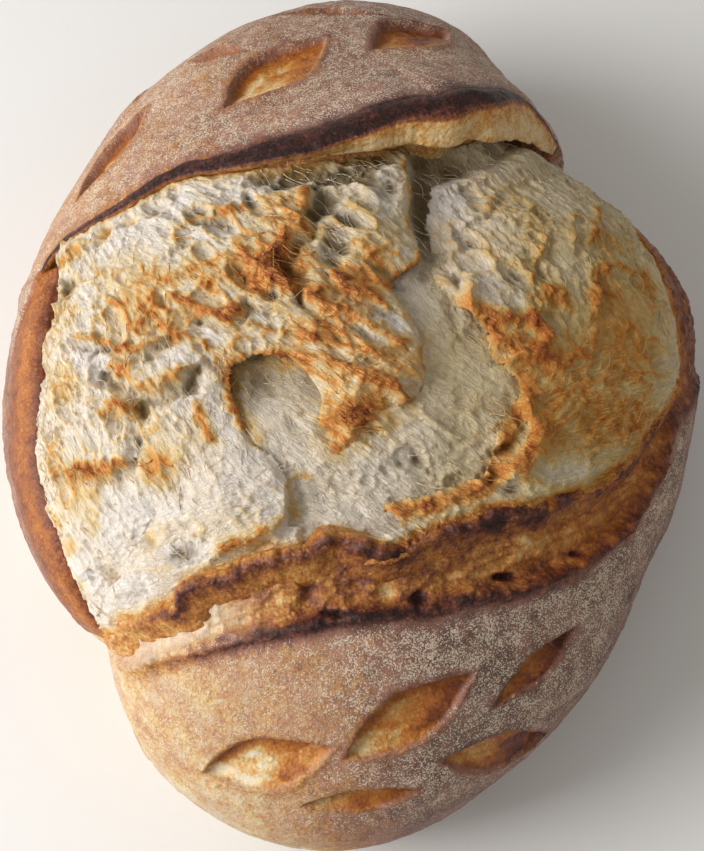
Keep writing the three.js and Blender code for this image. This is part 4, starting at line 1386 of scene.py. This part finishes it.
def build_right_crumb():
    """The right-hand crumb: toasted towards the side, torn and pale towards the fault."""
    top = points_beside(EAR_LINE, 2.0)
    top = top[(top[:, 0] > 27) & (top[:, 0] < 33)][::-1]
    under = points_beside(RIDGE_LINE, -1.2)[RIDGE_LINE[::6, 0] > 6]
    far_side = [(79, 36), (75, 41), (70, 46), (65, 51), (60, 58), (54, 66), (46, 72), (39, 67)]
    torn = RIGHT_EDGE[:, :2]
    edge = np.vstack([under, far_side, top, torn])

    def macro(x, y, inside):
        from_torn = np.abs(beside(smooth_line(torn, 1.0), x, y)[0])
        scarp = ease(-y, -14, 4)
        share = np.clip(from_torn / 34, 0, 1)
        rise = mix(-4.4 + 8.4 * (share * (1.4 - 0.4 * share)), 3.0 + 1.8 * ease(from_torn, 0, 12), scarp)
        to_rim = ease(waist_share(x, y), 0.66, 0.9)
        rise = mix(rise, np.minimum(rise, 0.6), to_rim)
        under_ear = ease(past_ear(x, y), -11, -2)
        to_ridge = ease(past_ridge(x, y), -6, 0)
        rise = rise - 4.0 * bell(np.hypot((x - 80) / 16, (y - 50) / 16), 1.0)
        return rise - 7.0 * under_ear * ease(-x, -72, -55) - 1.6 * to_ridge - 1.2 * bell(inside, 1.0) * scarp
    piece, x, y, toast, deep, inside, _ = build_sheet("crumb_right", edge, macro, 0.40, 1.1, 701, (0.9, 3.0, 7.0))
    scarp = ease(-y, -6, 4) * ease(x, 60, 45)
    torn_edge = bell(inside - 2.5, 3.0) * scarp
    toast = np.maximum(toast, (0.52 + 0.3 * rough(x, y, 4, 711, 3)) * torn_edge)
    near_ridge = ease(past_ridge(x, y), -5.5, -0.5)
    toast = np.maximum(toast, (0.60 + 0.2 * rough(x, y, 3, 712, 3)) * near_ridge)
    yellow = 0.75 * ease(x, 25, 45) * mix(1, 0.6, ease(x, 60, 90))
    shaded = 0.9 * ease(past_ear(x, y), -11, -3) * ease(-x, -72, -55)
    record_crumb(piece, x, y, toast=np.clip(toast, 0, 1), deep=np.clip(deep + shaded, 0, 1), yellow=yellow)
    return piece


def build_crumb_floor():
    """The floor of the fault: pale, fine-fibred crumb, deepest in the cavity below the ear."""
    edge = np.array([(-32, -8), (-27, -24), (-24, -36), (-18, -50), (-12, -61), (6, -60), (22, -55), (38, -50),
                     (46, -40), (46, -20), (46, -4), (42, 10), (42, 30), (46, 44), (50, 58), (40, 57), (30, 50),
                     (20, 45), (8, 41), (4, 28), (4, 10), (6, -6), (-6, -6), (-20, -4)], float)

    def macro(x, y, inside):
        base = -1.8 + 0 * x
        base -= 2.2 * ease(y, -16, 8)
        base -= 4.8 * bell(np.hypot((x - 27) / 9, (y - 42) / 7), 1.0)
        base -= 3.0 * bell(np.hypot((x - 18) / 3, (y - 26) / 14), 1.0)
        base += 1.2 * rough(x, y, 8, 821, 3)
        base -= 3.2 * bell(np.hypot((x + 17) / 5, (y + 17) / 6), 1.0)
        base -= 2.0 * bell(np.hypot((x + 4) / 9, (y + 42) / 5), 1.0)
        base += 2.4 * ease(x, 20, 40) * ease(-y, 0, 25)
        return base - 2.0 * ease(past_ridge(x, y), -4, 0)
    piece, x, y, toast, deep, _, height = build_sheet("crumb_floor", edge, macro, 0.40, 0.5, 801, (1.0, 3.0, 5.0),
                                                      0.65)
    near_ridge = ease(past_ridge(x, y), -5, -0.5)
    toast = np.maximum(0.55 * toast * ease(y, -2, -8), (0.5 + 0.25 * rough(x, y, 3, 812, 3)) * near_ridge)
    # Painted shade: darker where the floor lies low, along the fault and below the torn lip.
    fault_shade = 0.6 * bell(x - 18, 4.0) * ease(y, 2, 14)
    shade_below_lip = 0.7 * bell(beside(LIPS[0][0], x, y)[0] - 4, 6) * ease(-x, -10, 0)
    deep = np.clip(deep + 0.9 * ease(-height, 4.0, 9.0) + fault_shade + shade_below_lip, 0, 1)
    record_crumb(piece, x, y, toast=np.clip(toast, 0, 1), deep=deep, yellow=0.35 + 0.5 * ease(x, 10, 25))
    return piece


GROUND_CELL = 0.5  # mm
GROUND_SIZE = 520  # cells along each side


def ground_cells(x_y):
    """The grid's cells that places in mm lie in, as two rows of numbers."""
    return np.clip((x_y / GROUND_CELL + GROUND_SIZE // 2).astype(int), 0, GROUND_SIZE - 1).T


def crumb_ground():
    """The crumb's top on a square grid seen from above: height and browning, and where there is crumb."""
    ground = np.full((GROUND_SIZE, GROUND_SIZE), -1.0)
    brown, sallow = np.zeros_like(ground), np.zeros_like(ground)
    for name in ("crumb_floor", "crumb_left", "crumb_right"):
        mesh = bpy.data.objects[name].data
        where = places(bpy.data.objects[name]) / MM
        values = {}
        for key in ("toast", "yellow"):
            values[key] = np.empty(len(where), np.float32)
            mesh.attributes[key].data.foreach_get("value", values[key])
        i, j = ground_cells(where[:, :2])
        above = where[:, 2] > ground[i, j]
        order = np.nonzero(above)[0][np.argsort(where[above, 2])]
        ground[i[order], j[order]] = where[order, 2]
        brown[i[order], j[order]] = values["toast"][order]
        sallow[i[order], j[order]] = values["yellow"][order]
    return ground, brown, sallow


def build_threads(count):
    """Gluten threads: drawn out between the crumb's high places along its pull, over its pits and tears."""
    chance = np.random.default_rng(901)
    ground, brown, sallow = crumb_ground()

    # Starts: anywhere on the crumb, kept more often where it is torn, and ends that also stand on crumb.
    starts = chance.uniform((-95, -95), (95, 95), (60 * count, 2))
    zone = pull_weights(starts[:, 0], starts[:, 1])
    turns = np.radians([pull[3] for pull in PULLS])
    angle = turns[np.argmax(zone, 0)] + chance.normal(0, 0.45, len(starts))
    length = chance.gamma(4.0, 0.75, len(starts)) + 1.2
    ends = starts + length[:, None] * np.column_stack([np.cos(angle), np.sin(angle)])
    middle = (starts + ends) / 2
    heights = [ground[tuple(ground_cells(at))] for at in (starts, middle, ends)]
    hung = np.minimum(heights[0], heights[2]) - heights[1]
    good = (np.min(heights, 0) > 20) & (np.abs(heights[0] - heights[2]) < 0.35 * length) & (hung > -0.25) & (hung < 2.5)
    good &= chance.uniform(size=len(starts)) < 0.25 + 0.5 * np.clip(hung, 0, 1.5)
    kept = np.nonzero(good)[0][:count]

    deselect()
    bpy.ops.mesh.primitive_cylinder_add(vertices=5, radius=1, depth=1, end_fill_type="NGON")
    piece = named("gluten_threads")
    pick(piece, "edges", upright_edges(piece))
    edit(piece, "EDGE")
    bpy.ops.mesh.subdivide(number_cuts=7)
    done_editing()
    bpy.ops.object.modifier_add(type="ARRAY")
    row = piece.modifiers[-1]
    row.count = len(kept)
    row.relative_offset_displace = (0, 0, 2)
    bpy.ops.object.modifier_apply(modifier=row.name)

    flat = places(piece)
    each = np.clip(np.rint(flat[:, 2] / 2).astype(int), 0, len(kept) - 1)
    along = np.clip(flat[:, 2] - 2 * each + 0.5, 0, 1)
    a, b = starts[kept][each], ends[kept][each]
    across = np.column_stack([-(b - a)[:, 1], (b - a)[:, 0]])
    across /= np.hypot(across[:, 0], across[:, 1])[:, None]
    bow = chance.normal(0, 0.10, len(kept))[each] * length[kept][each]
    reach = np.sin(np.pi * along)
    spine = a + along[:, None] * (b - a) + (bow * reach)[:, None] * across
    thick = (chance.uniform(0.08, 0.17, len(kept))[each]) * (0.55 + 0.75 * np.abs(2 * along - 1) ** 1.5)
    straight = mix(heights[0][kept][each], heights[2][kept][each], along)
    rise = np.maximum(straight - 0.30 + 0.30 * reach, ground[tuple(ground_cells(spine))] - 0.12)
    where = np.column_stack([spine + (flat[:, 0] * thick)[:, None] * across, rise + flat[:, 1] * thick])
    place(piece, where)
    toast = 0.5 * (brown[tuple(ground_cells(starts[kept]))][each] + brown[tuple(ground_cells(ends[kept]))][each])
    toast = toast * (0.7 + 0.5 * chance.uniform(size=len(kept))[each]) + 0.10 * chance.uniform(size=len(kept))[each]
    record_crumb(piece, spine[:, 0], spine[:, 1], toast=np.clip(toast, 0, 1), deep=0 * toast,
                 yellow=0.4 * sallow[tuple(ground_cells(starts[kept]))][each])
    return piece


# ---------------------------------------------------------------------------------------------------
# Settings, operators and the panel.
# ---------------------------------------------------------------------------------------------------


class LoafSettings(bpy.types.PropertyGroup):
    """How finely the loaf is made."""
    body_steps: IntProperty(name="Body steps", description="Steps round the body", default=540, min=90, max=720)
    threads: IntProperty(name="Threads", description="Number of gluten threads over the crumb", default=1300,
                         min=10, max=4000)


class StageSettings(bpy.types.PropertyGroup):
    """Light and floor."""
    key_power: FloatProperty(name="Window light", description="Power of the large light on the left",
                             default=12.0, unit="POWER")
    fill_power: FloatProperty(name="Fill light", description="Power of the weak light on the right",
                              default=0.4, unit="POWER")
    sky: FloatProperty(name="Sky", description="Strength of the even light all round", default=0.34)
    sky_colour: FloatVectorProperty(name="Sky colour", description="Colour of the even light", subtype="COLOR",
                                    size=3, default=(0.99, 0.96, 0.90))


class LOAF_OT_body(bpy.types.Operator):
    """Make the loaf's body with its floured crust and cuts"""
    bl_idname = "loaf.body"
    bl_label = "Body"

    def execute(self, context):
        finish_piece(build_body(context.scene.loaf.body_steps), finish_of(crust_material))
        return {"FINISHED"}


class LOAF_OT_lips(bpy.types.Operator):
    """Make the ear's burnt lip and the front ridge"""
    bl_idname = "loaf.lips"
    bl_label = "Ear and ridge"

    def execute(self, context):
        for build in (build_ear, build_ridge):
            finish_piece(build(), finish_of(crust_material))
        return {"FINISHED"}


class LOAF_OT_crumb(bpy.types.Operator):
    """Make the torn crumb that the burst laid bare"""
    bl_idname = "loaf.crumb"
    bl_label = "Torn crumb"

    def execute(self, context):
        for build in (build_left_crumb, build_right_crumb, build_crumb_floor):
            finish_piece(build(), finish_of(crumb_material))
        return {"FINISHED"}


class LOAF_OT_threads(bpy.types.Operator):
    """Draw gluten threads over the torn crumb"""
    bl_idname = "loaf.threads"
    bl_label = "Gluten threads"

    def execute(self, context):
        finish_piece(build_threads(context.scene.loaf.threads), finish_of(crumb_material))
        return {"FINISHED"}


LIGHTS_AIM = (0.0, 0.0, 0.05)  # the loaf's middle, in metres


class LOAF_OT_stage(bpy.types.Operator):
    """Set the camera, the window light and the pale floor"""
    bl_idname = "loaf.stage"
    bl_label = "Stage"

    def execute(self, context):
        stage = context.scene.loaf_stage
        deselect()
        bpy.ops.mesh.primitive_plane_add(size=6.0)
        board = named("floor")
        board.data.materials.append(floor_material())

        scene = context.scene
        scene.view_settings.view_transform = "Standard"
        world = bpy.data.worlds.new("soft_room")
        scene.world = world
        world.use_nodes = True
        ground = world.node_tree.nodes["Background"]
        ground.inputs["Color"].default_value = (*stage.sky_colour, 1)
        ground.inputs["Strength"].default_value = stage.sky

        lens = bpy.data.cameras.new("camera")
        lens.lens = VIEW_LENS
        camera = bpy.data.objects.new("camera", lens)
        scene.collection.objects.link(camera)
        camera.location = eye() * MM
        camera.rotation_euler = (math.radians(90 - VIEW_ELEVATION), 0, 0)
        scene.camera = camera

        for name, power, size, at in (("window", stage.key_power, 0.7, (-0.86, -0.14, 0.60)),
                                      ("fill", stage.fill_power, 0.9, (0.7, -0.5, 0.7))):
            light = bpy.data.lights.new(name, "AREA")
            light.energy = power
            light.size = size
            lamp = bpy.data.objects.new(name, light)
            scene.collection.objects.link(lamp)
            lamp.location = at
            aim = Vector(LIGHTS_AIM) - Vector(at)
            lamp.rotation_euler = aim.to_track_quat("-Z", "Y").to_euler()
        return {"FINISHED"}


class LOAF_PT_panel(bpy.types.Panel):
    """The loaf's pieces and stage"""
    bl_idname = "LOAF_PT_panel"
    bl_label = "Sourdough loaf"
    bl_space_type = "VIEW_3D"
    bl_region_type = "UI"
    bl_category = "Loaf"

    def draw(self, context):
        column = self.layout.column()
        for name in ("body_steps", "threads"):
            column.prop(context.scene.loaf, name)
        for name in ("key_power", "fill_power", "sky", "sky_colour"):
            column.prop(context.scene.loaf_stage, name)
        for operator in STEPS:
            column.operator(operator.bl_idname)


STEPS = (LOAF_OT_stage, LOAF_OT_body, LOAF_OT_lips, LOAF_OT_crumb, LOAF_OT_threads)
CLASSES = (LoafSettings, StageSettings, *STEPS, LOAF_PT_panel)


def register():
    for each in CLASSES:
        bpy.utils.register_class(each)
    bpy.types.Scene.loaf = PointerProperty(type=LoafSettings)
    bpy.types.Scene.loaf_stage = PointerProperty(type=StageSettings)


def unregister():
    del bpy.types.Scene.loaf_stage
    del bpy.types.Scene.loaf
    for each in reversed(CLASSES):
        bpy.utils.unregister_class(each)


def main():
    register()
    bpy.ops.loaf.stage()
    bpy.ops.loaf.body()
    bpy.ops.loaf.lips()
    bpy.ops.loaf.crumb()
    bpy.ops.loaf.threads()


if __name__ == "__main__":
    main()
